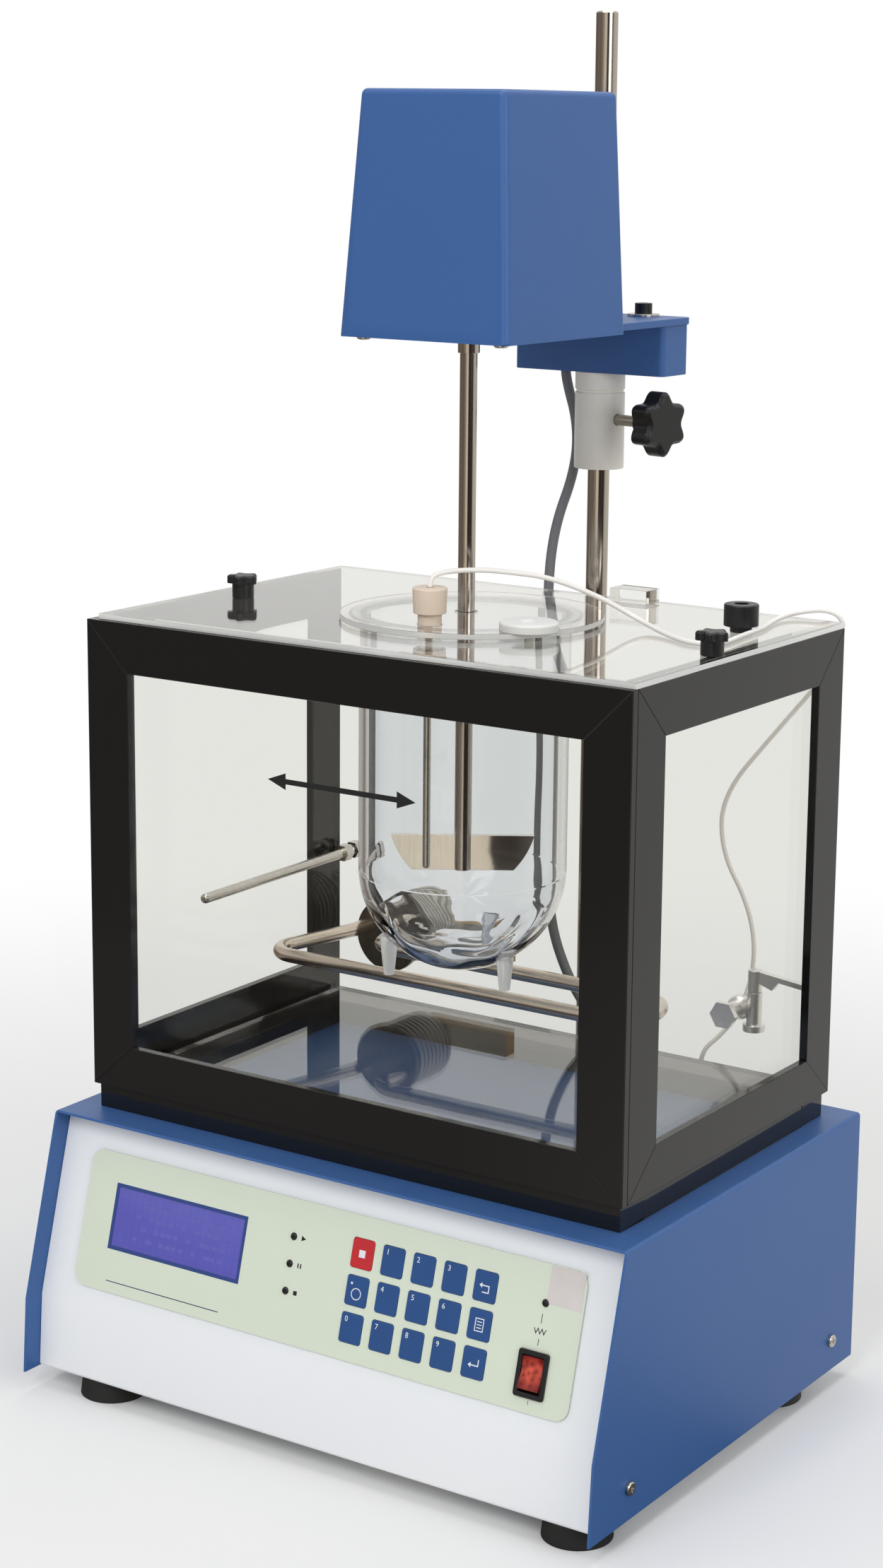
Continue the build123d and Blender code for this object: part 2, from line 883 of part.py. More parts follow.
# Floor of the bath, inside the panes. Clear pieces stand a small gap apart, as on the real bath
# where a film of air or glue lies between them.
pane_inner_front = pane_front + pane_thickness
pane_inner_back = tank_back - pane_thickness
inner_middle = (pane_inner_front + pane_inner_back) / 2
inner_depth = pane_inner_back - pane_inner_front
pane_bottom = tank_bottom + clear_gap
pane_height = tank_height - clear_gap
with BuildPart() as tank_floor:
    with BuildSketch(upright(0, inner_middle, pane_bottom)):
        Rectangle(2 * (pane_inner_x - clear_gap), inner_depth - 2 * clear_gap)
    extrude(amount=floor_thickness)
save("tank_floor", tank_floor)


def side_pane(x):
    """A clear side pane between the front and the back one."""
    with BuildPart() as pane:
        with BuildSketch(upright(x, inner_middle, pane_bottom)):
            Rectangle(pane_thickness, inner_depth - 2 * clear_gap)
        extrude(amount=pane_height)
    return pane


with BuildPart() as front_pane:
    with BuildSketch(upright(0, pane_front + pane_thickness / 2, pane_bottom)):
        Rectangle(-2 * pane_left, pane_thickness)
    extrude(amount=pane_height)
with BuildPart() as back_pane:
    with BuildSketch(upright(0, tank_back - pane_thickness / 2, pane_bottom)):
        Rectangle(-2 * pane_left, pane_thickness)
    extrude(amount=pane_height)
    with BuildSketch(Plane(origin=(0, tank_back, 0), x_dir=(1, 0, 0), z_dir=(0, -1, 0))):
        with Locations((heater_x, heater_z)):
            Circle(heater_boss_radius + seat_gap)
        with Locations((sensor_x, sensor_z)):
            Circle(sensor_boss_radius + seat_gap)
        with Locations((drain_x, drain_z)):
            Circle(drain_spigot_radius + seat_gap)
    extrude(amount=pane_thickness, mode=Mode.SUBTRACT)
pane_side_x = pane_inner_x + pane_thickness / 2
save("tank_panes", front_pane, side_pane(-pane_side_x), side_pane(pane_side_x), back_pane)


def mitred_strips(plane, length):
    """Four black strips round one face, mitred at the corners. The plane's origin is bottom middle."""
    outer_x = length / 2
    inner_x = outer_x - strip_side
    inner_top = tank_height - strip_top
    outlines = [
        [(-outer_x, 0), (outer_x, 0), (inner_x, strip_bottom), (-inner_x, strip_bottom)],
        [(outer_x, 0), (outer_x, tank_height), (inner_x, inner_top), (inner_x, strip_bottom)],
        [(outer_x, tank_height), (-outer_x, tank_height), (-inner_x, inner_top), (inner_x, inner_top)],
        [(-outer_x, tank_height), (-outer_x, 0), (-inner_x, strip_bottom), (-inner_x, inner_top)],
    ]
    strips = []
    for outline in outlines:
        with BuildPart() as strip:
            with BuildSketch(plane):
                with BuildLine():
                    Polyline(*outline, close=True)
                make_face()
            extrude(amount=strip_thickness - clear_gap)
        strips.append(strip)
    return strips


# Black mitred frame on the front and on both sides
side_strip_middle = (pane_front + tank_back) / 2
side_strip_length = tank_back - pane_front
strip_back_x = clear_gap - pane_left
front_strips = mitred_strips(
    Plane(origin=(0, pane_front - clear_gap, tank_bottom), x_dir=(1, 0, 0), z_dir=(0, -1, 0)),
    tank_width,
)
left_strips = mitred_strips(
    Plane(origin=(-strip_back_x, side_strip_middle, tank_bottom), x_dir=(0, -1, 0), z_dir=(-1, 0, 0)),
    side_strip_length,
)
right_strips = mitred_strips(
    Plane(origin=(strip_back_x, side_strip_middle, tank_bottom), x_dir=(0, 1, 0), z_dir=(1, 0, 0)),
    side_strip_length,
)
save("tank_frame", *front_strips, *left_strips, *right_strips)

# Clear lid with a stepped hole for the vessel, and the clear block at its back
with BuildPart() as tank_lid:
    with BuildSketch(upright((lid_left + lid_right) / 2, (lid_front + tank_back) / 2, lid_bottom)):
        Rectangle(lid_right - lid_left, tank_back - lid_front)
    extrude(amount=lid_thickness)
    with BuildSketch(upright(lid_block_x, lid_block_y, lid_top)):
        Rectangle(lid_block_size[0], lid_block_size[1])
    extrude(amount=lid_block_size[2])
    with BuildSketch(Plane.XY.offset(lid_top)):
        with Locations((0, shaft_y)):
            Circle(vessel_radius + vessel_clearance)
        with Locations((plug_x, plug_y)):
            Circle(plug_stem_radius + plug_gap)
        with Locations((left_knob_x, left_knob_y), (right_knob_x, right_knob_y)):
            Circle(lid_knob_stud_radius + fit)
    extrude(amount=-lid_thickness, mode=Mode.SUBTRACT)
    with BuildSketch(upright(0, shaft_y, lid_top)):
        Circle(rim_radius + vessel_clearance)
    extrude(amount=-lid_seat_depth, mode=Mode.SUBTRACT)
save("tank_lid", tank_lid)

# Round-bottomed vessel with a flat rim and three short feet
vessel_plane = Plane(origin=(0, shaft_y, 0), x_dir=(1, 0, 0), z_dir=(0, -1, 0))
vessel_axis = Axis((0, shaft_y, 0), (0, 0, 1))
vessel_centre = vessel_bottom + vessel_radius
vessel_inner = vessel_radius - vessel_wall
foot_bottom_z = vessel_bottom - vessel_foot_below
with BuildPart() as vessel:
    with BuildSketch(vessel_plane):
        with BuildLine():
            CenterArc((0, vessel_centre), vessel_radius, -90, 90)
            Polyline(
                (vessel_radius, vessel_centre),
                (vessel_radius, rim_top - rim_thickness),
                (rim_radius, rim_top - rim_thickness),
                (rim_radius, rim_top),
                (0, rim_top),
                (0, vessel_bottom),
            )
        make_face()
    revolve(axis=vessel_axis)
    with BuildSketch(upright(0, shaft_y, foot_bottom_z)):
        with PolarLocations(vessel_foot_circle, 3, start_angle=vessel_foot_angle):
            Circle(vessel_foot_radius)
    extrude(amount=vessel_foot_length, taper=-vessel_foot_taper)
    with BuildSketch(vessel_plane):
        with BuildLine():
            CenterArc((0, vessel_centre), vessel_inner, -90, 90)
            Polyline(
                (vessel_inner, vessel_centre),
                (vessel_inner, rim_top + 1),
                (0, rim_top + 1),
                (0, vessel_bottom + vessel_wall),
            )
        make_face()
    revolve(axis=vessel_axis, mode=Mode.SUBTRACT)
save("vessel", vessel)

# Clear cover of the vessel, with holes for the shaft, the stopper and the plug
with BuildPart() as vessel_cover:
    with BuildSketch(upright(cover_x, shaft_y, cover_bottom)):
        Circle(cover_radius)
    extrude(amount=cover_thickness)
    with BuildSketch(Plane.XY.offset(cover_top)):
        with Locations((0, shaft_y)):
            Circle(cover_shaft_hole)
        with Locations((stopper_x, stopper_y)):
            Circle(stopper_stem_radius + seat_gap)
        with Locations((plug_x, plug_y)):
            Circle(plug_stem_radius + plug_gap)
    extrude(amount=-cover_thickness, mode=Mode.SUBTRACT)
save("vessel_cover", vessel_cover)

# Cream stopper that holds the temperature probe
with BuildPart() as probe_stopper:
    with BuildSketch(upright(stopper_x, stopper_y, cover_bottom)):
        Circle(stopper_stem_radius)
    extrude(amount=stopper_bottom - cover_bottom)
    with BuildSketch(upright(stopper_x, stopper_y, stopper_bottom)):
        Circle(stopper_radius - stopper_taper)
    with BuildSketch(upright(stopper_x, stopper_y, stopper_top)):
        Circle(stopper_radius)
    loft()
    chamfer(probe_stopper.faces().sort_by(Axis.Z)[-1].edges(), stopper_taper)
    with BuildSketch(upright(stopper_x, stopper_y, stopper_top)):
        Circle(probe_radius + fit)
    extrude(amount=cover_bottom - stopper_top, mode=Mode.SUBTRACT)
save("probe_stopper", probe_stopper)

# Temperature probe: a thin rod with a rounded tip, down into the vessel
with BuildPart() as temperature_probe:
    with BuildSketch(upright(stopper_x, stopper_y, probe_tip)):
        Circle(probe_radius)
    extrude(amount=stopper_top - probe_tip)
    fillet(temperature_probe.faces().sort_by(Axis.Z)[0].edges(), probe_radius * 0.8)
save("temperature_probe", temperature_probe)

# White plug of the dosing hole, with a dimple in its top
with BuildPart() as dosing_plug:
    with BuildSketch(upright(plug_x, plug_y, cover_top)):
        Circle(plug_radius)
    extrude(amount=plug_height)
    fillet(dosing_plug.faces().sort_by(Axis.Z)[-1].edges(), plug_height / 3)
    with BuildSketch(upright(plug_x, plug_y, cover_top + plug_height)):
        Circle(plug_dimple_radius)
    extrude(amount=-plug_height / 4, mode=Mode.SUBTRACT)
    with BuildSketch(upright(plug_x, plug_y, cover_top)):
        Circle(plug_stem_radius)
    extrude(amount=-plug_stem_length)
save("dosing_plug", dosing_plug)


def lobed_outline(radius, lobes, depth):
    """Points of a lobed knob's outline: a circle whose radius swells once for each lobe."""
    steps = 4 * lobes
    points = []
    for step in range(steps):
        angle = 2 * pi * step / steps
        reach = radius - depth / 2 + depth / 2 * cos(lobes * angle)
        points.append((reach * cos(angle), reach * sin(angle)))
    return points


def lid_knob(x, y):
    """A small lobed hand knob on a round stem, with its stud in the lid."""
    with BuildPart() as knob:
        with BuildSketch(upright(x, y, lid_top)):
            Circle(lid_knob_stem_radius)
        extrude(amount=lid_knob_stem)
        with BuildSketch(upright(x, y, lid_top + lid_knob_stem)):
            with BuildLine():
                Spline(*lobed_outline(lid_knob_radius, lid_knob_lobes, 3), periodic=True)
            make_face()
        extrude(amount=lid_knob_head)
        chamfer(knob.faces().sort_by(Axis.Z)[-1].edges(), lid_knob_head / 5)
        with BuildSketch(upright(x, y, lid_top)):
            Circle(lid_knob_stud_radius)
        extrude(amount=-lid_thickness)
    return knob


save("left_lid_knob", lid_knob(left_knob_x, left_knob_y))
save("right_lid_knob", lid_knob(right_knob_x, right_knob_y))

# Filler cap with a hole in its top
with BuildPart() as filler_cap:
    with BuildSketch(upright(filler_x, filler_y, lid_top)):
        Circle(filler_neck_radius)
    extrude(amount=filler_neck)
    with BuildSketch(upright(filler_x, filler_y, lid_top + filler_neck)):
        Circle(filler_radius)
    extrude(amount=filler_head)
    fillet(filler_cap.faces().sort_by(Axis.Z)[-1].edges(), screw_slot)
    with BuildSketch(upright(filler_x, filler_y, lid_top + filler_neck + filler_head)):
        Circle(filler_bore)
    extrude(amount=-filler_bore_depth, mode=Mode.SUBTRACT)
save("filler_cap", filler_cap)

# Heater: one tube from the flange round the floor of the bath and back in a hairpin
heater_half = heater_leg_spacing / 2
heater_flange_face = pane_inner_back - heater_flange
hairpin = (heater_back_y - heater_front_y) / 2 - seat_gap
heater_route = [
    (heater_x - heater_half, heater_flange_face, heater_leg_z),
    (heater_x - heater_half, heater_flange_face - heater_bend, heater_leg_z),
    (heater_left_x, heater_front_y, heater_leg_z),
    (heater_right_x, heater_front_y, heater_leg_z),
    (heater_right_x, heater_back_y, heater_leg_z),
    (heater_x + heater_half, heater_back_y, heater_leg_z),
    (heater_x + heater_half, heater_flange_face, heater_leg_z),
]
heater_start = Vector(*heater_route[1]) - Vector(*heater_route[0])
with BuildPart() as heater_tube:
    with BuildLine():
        FilletPolyline(
            *heater_route, radius=[heater_bend, heater_bend, hairpin, hairpin, heater_bend]
        )
    with BuildSketch(Plane(origin=heater_route[0], z_dir=heater_start)):
        Circle(heater_tube_radius)
    sweep()
save("heater_tube", heater_tube)

# Heater fitting: flange inside, threaded boss through the pane, ribbed cap outside
with BuildPart() as heater_body:
    with BuildSketch(facing_back(heater_x, heater_flange_face, heater_z)):
        Circle(heater_flange_radius)
    extrude(amount=heater_flange)
    with BuildSketch(facing_back(heater_x, pane_inner_back, heater_z)):
        Circle(heater_boss_radius)
    extrude(amount=pane_thickness)
    with BuildSketch(facing_back(heater_x, tank_back, heater_z)):
        Circle(heater_cap_radius)
    extrude(amount=heater_cap_end - tank_back)
    rib_pitch = (heater_cap_end - tank_back) / (heater_rib_count + 1)
    for rib in range(heater_rib_count):
        groove_y = tank_back + (rib + 1) * rib_pitch - rib_pitch / 4
        with BuildSketch(facing_back(heater_x, groove_y, heater_z)):
            Circle(heater_cap_radius + 1)
            Circle(heater_cap_radius - heater_rib_depth, mode=Mode.SUBTRACT)
        extrude(amount=rib_pitch / 2, mode=Mode.SUBTRACT)
with BuildPart() as terminal_block:
    with BuildSketch(facing_back(heater_x + terminal_width / 2, heater_cap_end, terminal_z)):
        Rectangle(terminal_width, terminal_height)
    extrude(amount=terminal_end - heater_cap_end)
save("heater_fitting", heater_body, terminal_block)

# Bath sensor: a rod along the left side, in a nut on the back pane
with BuildPart() as bath_sensor:
    with BuildSketch(facing_back(sensor_x, sensor_tip_y, sensor_z)):
        Circle(sensor_radius)
    extrude(amount=tank_back - sensor_tip_y)
    fillet(bath_sensor.faces().sort_by(Axis.Y)[0].edges(), sensor_radius * 0.8)
    with BuildSketch(facing_back(sensor_x, pane_inner_back, sensor_z)):
        Circle(sensor_boss_radius)
    extrude(amount=pane_thickness)
    with BuildSketch(facing_back(sensor_x, pane_inner_back, sensor_z)):
        RegularPolygon(sensor_nut_radius, 6)
    extrude(amount=-sensor_nut)
    with BuildSketch(facing_back(sensor_x, tank_back, sensor_z)):
        RegularPolygon(sensor_nut_radius, 6)
    extrude(amount=sensor_nut)
save("bath_sensor", bath_sensor)

# Drain cock: spigot through the back pane, ball, upright stem and outlet
with BuildPart() as drain_cock:
    with BuildSketch(facing_back(drain_x, pane_inner_back - drain_nut, drain_z)):
        RegularPolygon(drain_nut_radius, 6)
    extrude(amount=drain_nut)
    ball_start = (drain_ball_radius**2 - drain_spigot_radius**2) ** 0.5
    with BuildSketch(Plane(origin=(drain_x, drain_y, drain_z), x_dir=(0, 1, 0), z_dir=(1, 0, 0))):
        with BuildLine():
            ThreePointArc(
                (drain_ball_radius, 0), (0, drain_ball_radius), (-ball_start, drain_spigot_radius)
            )
            Polyline(
                (-ball_start, drain_spigot_radius),
                (pane_inner_back - drain_y, drain_spigot_radius),
                (pane_inner_back - drain_y, 0),
                (drain_ball_radius, 0),
            )
        make_face()
    revolve(axis=Axis((drain_x, drain_y, drain_z), (0, 1, 0)))
    with BuildSketch(upright(drain_stem_x, drain_y, drain_stem_bottom)):
        Circle(drain_stem_radius)
    extrude(amount=drain_stem_top - drain_stem_bottom)
    with BuildSketch(upright(drain_stem_x, drain_y, drain_stem_bottom)):
        Circle(drain_outlet_radius)
    extrude(amount=drain_outlet)
save("drain_cock", drain_cock)

# Drain lever: a hub on the cock's stem, a straight handle and the web under it
lever_bottom = lever_hub_top - lever_height - lever_web_drop
with BuildPart() as drain_lever:
    with BuildSketch(upright(drain_stem_x, drain_y, drain_stem_top + lever_gap)):
        Circle(drain_stem_radius - lever_gap)
    extrude(amount=lever_hub_top - drain_stem_top - lever_gap)
    lever_plane = Plane(origin=(drain_stem_x, drain_y, 0), x_dir=(1, 0, 0), z_dir=(0, -1, 0))
    with BuildSketch(lever_plane):
        with BuildLine():
            Polyline(
                (0, lever_hub_top - lever_height),
                (lever_reach, lever_hub_top - 2 * lever_height),
                (lever_reach, lever_hub_top - lever_height),
                (0, lever_hub_top),
                close=True,
            )
        make_face()
        with BuildLine():
            Polyline(
                (0, lever_hub_top - lever_height),
                (lever_reach / 2, lever_hub_top - 1.5 * lever_height),
                (lever_reach / 2 - lever_width, lever_bottom),
                (0, lever_bottom + lever_width),
                close=True,
            )
        make_face()
    extrude(amount=lever_width / 2, both=True)
save("drain_lever", drain_lever)

# Support rod and the bracket that holds it on the cabinet's back
with BuildPart() as support_rod:
    with BuildSketch(upright(0, rod_y, rod_foot)):
        Circle(rod_radius)
    extrude(amount=rod_top - rod_foot)
    chamfer(support_rod.faces().sort_by(Axis.Z)[-1].edges(), rod_chamfer)
save("support_rod", support_rod)

bracket_middle = (bracket_bottom + bracket_top) / 2
with BuildPart() as rod_bracket:
    with BuildSketch(upright(0, (base_back + bracket_back) / 2, bracket_bottom)):
        Rectangle(bracket_width, bracket_back - base_back)
    extrude(amount=bracket_top - bracket_bottom)
    fillet(rod_bracket.edges().filter_by(Axis.Z).group_by(Axis.Y)[-1], beam_corner)
    with BuildSketch(upright(0, rod_y, rod_foot)):
        Circle(rod_radius + fit)
    extrude(amount=bracket_top - rod_foot, mode=Mode.SUBTRACT)
    with BuildSketch(facing_back(0, bracket_back, bracket_middle)):
        with GridLocations(1, (bracket_top - bracket_bottom) / 2, 1, 2):
            Circle(bracket_screw_radius)
    extrude(amount=bracket_screw_head)
    with BuildSketch(facing_back(0, bracket_back + bracket_screw_head, bracket_middle)):
        with GridLocations(1, (bracket_top - bracket_bottom) / 2, 1, 2):
            RegularPolygon(bracket_screw_radius / 2, 6)
    extrude(amount=-bracket_screw_head, mode=Mode.SUBTRACT)
save("rod_bracket", rod_bracket)

# Collar under the arm, bored for the rod and for the clamp stud
clamp_direction = Vector(cos(radians(clamp_azimuth)), sin(radians(clamp_azimuth)), 0)


def along_clamp(distance):
    """A plane square to the clamp screw, at a distance from the rod's axis."""
    return Plane(
        origin=Vector(0, rod_y, clamp_z) + clamp_direction * distance,
        x_dir=(0, 0, 1),
        z_dir=clamp_direction,
    )


with BuildPart() as arm_collar:
    with BuildSketch(upright(0, rod_y, collar_bottom)):
        Circle(collar_radius)
        Circle(rod_radius + fit, mode=Mode.SUBTRACT)
    extrude(amount=collar_top - collar_bottom)
    with BuildSketch(upright(0, rod_y, collar_groove_z - collar_groove_width / 2)):
        Circle(collar_radius + 1)
        Circle(collar_radius - collar_groove_depth, mode=Mode.SUBTRACT)
    extrude(amount=collar_groove_width, mode=Mode.SUBTRACT)
    with BuildSketch(along_clamp(0)):
        Circle(clamp_stud_radius + fit)
    extrude(amount=collar_radius + 1, mode=Mode.SUBTRACT)
save("arm_collar", arm_collar)

# Clamp knob: a threaded stud, a round hub and a six-lobed head
with BuildPart() as clamp_knob:
    with BuildSketch(along_clamp(clamp_stud_start)):
        Circle(clamp_stud_radius)
    extrude(amount=clamp_knob_start - clamp_stud_start)
    with BuildSketch(along_clamp(clamp_knob_start)):
        Circle(clamp_hub_radius)
    extrude(amount=clamp_hub)
    with BuildSketch(along_clamp(clamp_knob_start + clamp_hub)):
        with BuildLine():
            Spline(*lobed_outline(clamp_knob_radius, clamp_knob_lobes, 4.5), periodic=True)
        make_face()
    extrude(amount=clamp_knob_thickness)
    outer_face = clamp_knob.faces().sort_by(Axis((0, rod_y, clamp_z), clamp_direction))[-1]
    chamfer(outer_face.edges(), clamp_knob_thickness / 6)
save("clamp_knob", clamp_knob)

# Arm beam: a block across the rod, with a lip for the motor cable
with BuildPart() as arm_beam:
    with BuildSketch(upright(0, rod_y, collar_top)):
        RectangleRounded(beam_width, beam_depth, beam_corner)
    extrude(amount=beam_top - collar_top)
    with BuildSketch(upright(0, rod_y, collar_top)):
        Circle(rod_radius + 2 * fit)
    extrude(amount=beam_top - collar_top, mode=Mode.SUBTRACT)
    with BuildSketch(upright(0, rod_y, beam_top)):
        with GridLocations(2 * arm_screw_x, 1, 2, 1):
            Circle(arm_screw_radius + seat_gap)
    extrude(amount=plate_thickness - arm_screw_length - fit, mode=Mode.SUBTRACT)
    with BuildSketch(upright(grommet_x, grommet_y, collar_top)):
        Circle(grommet_radius)
    extrude(amount=-grommet_lip)
save("arm_beam", arm_beam)

# Arm plate: the head's floor in front and the clamping plate over the beam behind
floor_lean = head_lean * (plate_top - head_bottom) / (head_top - head_bottom)
floor_left = head_left + head_wall + floor_lean + sheet_gap
floor_right = head_right - head_wall - floor_lean - sheet_gap
floor_front = head_front + head_wall + floor_lean + sheet_gap
floor_middle = (floor_left + floor_right) / 2
with BuildPart() as arm_plate:
    floor_back = head_back - head_wall - sheet_gap
    with BuildSketch(upright(floor_middle, (floor_front + floor_back) / 2, beam_top)):
        RectangleRounded(floor_right - floor_left, floor_back - floor_front, head_corner - head_wall)
    extrude(amount=plate_thickness)
    rear_start = head_back - 2 * head_wall + sheet_gap
    with BuildSketch(upright(0, (rear_start + plate_back) / 2, beam_top)) as rear_plate:
        Rectangle(plate_width, plate_back - rear_start)
        fillet(rear_plate.vertices().group_by(Axis.Y)[-1], plate_corner)
    extrude(amount=plate_thickness)
    with BuildSketch(upright(0, shaft_y, plate_top)):
        Circle(bearing_boss_radius)
    extrude(amount=bearing_boss)
    with BuildSketch(upright(0, shaft_y, beam_top)):
        Circle(bearing_radius + seat_gap / 4)
    extrude(amount=plate_thickness + bearing_boss, mode=Mode.SUBTRACT)
    with BuildSketch(upright(0, rod_y, beam_top)):
        Circle(rod_radius + 2 * fit)
        with GridLocations(2 * arm_screw_x, 1, 2, 1):
            Circle(arm_screw_radius + seat_gap)
    extrude(amount=plate_thickness, mode=Mode.SUBTRACT)
    with BuildSketch(upright(floor_middle, floor_front + head_screw_inset, beam_top)):
        with GridLocations(floor_right - floor_left - 2 * head_screw_inset, 1, 2, 1):
            Circle(screw_shank_radius + seat_gap)
    extrude(amount=plate_thickness, mode=Mode.SUBTRACT)
save("arm_plate", arm_plate)


def arm_screw(x):
    """A cap screw with a socket, on its washer."""
    with BuildPart() as washer:
        with BuildSketch(upright(x, rod_y, plate_top)):
            Circle(washer_radius)
            Circle(arm_screw_radius + fit, mode=Mode.SUBTRACT)
        extrude(amount=washer_thickness)
    with BuildPart() as screw:
        with BuildSketch(upright(x, rod_y, plate_top + washer_thickness)):
            Circle(arm_screw_head_radius)
        extrude(amount=arm_screw_head)
        with BuildSketch(upright(x, rod_y, plate_top + washer_thickness + arm_screw_head)):
            RegularPolygon(arm_screw_socket, 6)
        extrude(amount=-arm_screw_head / 2, mode=Mode.SUBTRACT)
        with BuildSketch(upright(x, rod_y, plate_top + washer_thickness)):
            Circle(arm_screw_radius)
        extrude(amount=-arm_screw_length - washer_thickness)
    return [washer, screw]


def head_screw(x, y):
    """A small round-headed screw up through the head's floor into a tab of the housing."""
    with BuildPart() as screw:
        with BuildSketch(upright(x, y, beam_top)):
            Circle(head_screw_radius)
        extrude(amount=-head_screw_head)
        fillet(screw.faces().sort_by(Axis.Z)[0].edges(), head_screw_head / 2)
        with BuildSketch(upright(x, y, beam_top)):
            Circle(screw_shank_radius)
        extrude(amount=plate_thickness + head_tab_thickness)
    return screw


head_screw_y = floor_front + head_screw_inset
save(
    "arm_screws",
    *arm_screw(-arm_screw_x),
    *arm_screw(arm_screw_x),
    head_screw(floor_left + head_screw_inset, head_screw_y),
    head_screw(floor_right - head_screw_inset, head_screw_y),
)


def head_outline(height, inset, corner):
    """The head's outline at a height, drawn in by an inset. The back stays upright."""
    lean = head_lean * (height - head_bottom) / (head_top - head_bottom) + inset
    left = head_left + lean
    right = head_right - lean
    front = head_front + lean
    back = head_back - inset
    with BuildSketch(upright((left + right) / 2, (front + back) / 2, height)) as outline:
        RectangleRounded(right - left, back - front, corner)
    return outline.sketch


# Head housing: a tapered cover, open below, with a slot for the arm plate and two tabs
with BuildPart() as head_housing:
    loft([head_outline(head_bottom, 0, head_corner), head_outline(head_top, 0, head_corner)])
    fillet(head_housing.faces().sort_by(Axis.Z)[-1].edges(), head_top_radius)
    inner_bottom = head_outline(head_bottom, head_wall, head_corner - head_wall)
    inner_top = head_outline(head_top - head_wall, head_wall, head_corner - head_wall)
    loft([inner_bottom, inner_top], mode=Mode.SUBTRACT)
    with BuildSketch(upright(0, head_back, head_bottom)):
        Rectangle(plate_width + 2 * sheet_gap, 4 * head_wall)
    extrude(amount=plate_top - head_bottom + sheet_gap, mode=Mode.SUBTRACT)
    tab_y = floor_front + head_tab / 2 - sheet_gap
    with BuildSketch(upright(floor_middle, tab_y, plate_top)):
        with GridLocations(floor_right - floor_left - head_tab + 2 * sheet_gap, 1, 2, 1):
            Rectangle(head_tab, head_tab)
    extrude(amount=head_tab_thickness)
    with BuildSketch(upright(floor_middle, floor_front + head_screw_inset, plate_top)):
        with GridLocations(floor_right - floor_left - 2 * head_screw_inset, 1, 2, 1):
            Circle(screw_shank_radius + seat_gap / 4)
    extrude(amount=head_tab_thickness, mode=Mode.SUBTRACT)
save("head_housing", head_housing)


def involute(angle):
    """The involute function of a pressure angle."""
    return tan(angle) - angle


def gear_outline(plane, teeth, turn):
    """Involute outline of a spur gear, with the first tooth turned by an angle in degrees."""
    pitch_radius = gear_module * teeth / 2
    base_radius = pitch_radius * cos(radians(pressure_angle))
    root_radius = pitch_radius - 1.25 * gear_module
    tip_radius = pitch_radius + gear_module
    flank_start = max(base_radius, root_radius)
    pitch_half = pi / (2 * teeth) - gear_backlash / (2 * pitch_radius)

    def half_tooth(radius):
        angle = acos(min(1, base_radius / radius))
        return pitch_half + involute(radians(pressure_angle)) - involute(angle)

    def at(radius, angle):
        return (radius * cos(angle), radius * sin(angle))

    flank = [flank_start + (tip_radius - flank_start) * share for share in (0, 0.3, 0.65, 1)]
    step = 2 * pi / teeth
    with BuildSketch(plane) as outline:
        with BuildLine():
            for tooth in range(teeth):
                middle = radians(turn) + tooth * step
                foot_angle = half_tooth(flank_start)
                tip_angle = half_tooth(tip_radius)
                if flank_start > root_radius:
                    Line(at(root_radius, middle - foot_angle), at(flank_start, middle - foot_angle))
                    Line(at(flank_start, middle + foot_angle), at(root_radius, middle + foot_angle))
                Spline(*[at(radius, middle - half_tooth(radius)) for radius in flank])
                Spline(*[at(radius, middle + half_tooth(radius)) for radius in reversed(flank)])
                ThreePointArc(
                    at(tip_radius, middle - tip_angle),
                    at(tip_radius, middle),
                    at(tip_radius, middle + tip_angle),
                )
                ThreePointArc(
                    at(root_radius, middle + foot_angle),
                    at(root_radius, middle + step / 2),
                    at(root_radius, middle + step - foot_angle),
                )
        make_face()
    return outline.sketch


# Spindle gear, with a hub below and a ring of holes in its web
with BuildPart() as spindle_gear:
    extrude(gear_outline(upright(0, shaft_y, gear_bottom), spindle_teeth, 0), amount=gear_thickness)
    with BuildSketch(upright(0, shaft_y, gear_bottom)):
        Circle(gear_hub_radius)
    extrude(amount=-gear_hub)
    with BuildSketch(upright(0, shaft_y, gear_bottom)):
        with PolarLocations(web_hole_circle, 6):
            Circle(web_hole_radius)
    extrude(amount=gear_thickness, mode=Mode.SUBTRACT)
    with BuildSketch(upright(0, shaft_y, gear_bottom - gear_hub)):
        Circle(spindle_radius + fit / 2)
    extrude(amount=gear_thickness + gear_hub, mode=Mode.SUBTRACT)
save("spindle_gear", spindle_gear)

# Pinion on the gearbox shaft, set so that a gap faces the spindle gear's tooth
pinion_step = 360 / pinion_teeth
with BuildPart() as pinion:
    extrude(
        gear_outline(upright(0, pinion_y, gear_bottom), pinion_teeth, -90 + pinion_step / 2),
        amount=gear_thickness,
    )
    with BuildSketch(upright(0, pinion_y, pinion_shaft_bottom)):
        Circle(pinion_shaft_radius)
    extrude(amount=pinion_shaft_top - pinion_shaft_bottom)
save("pinion", pinion)

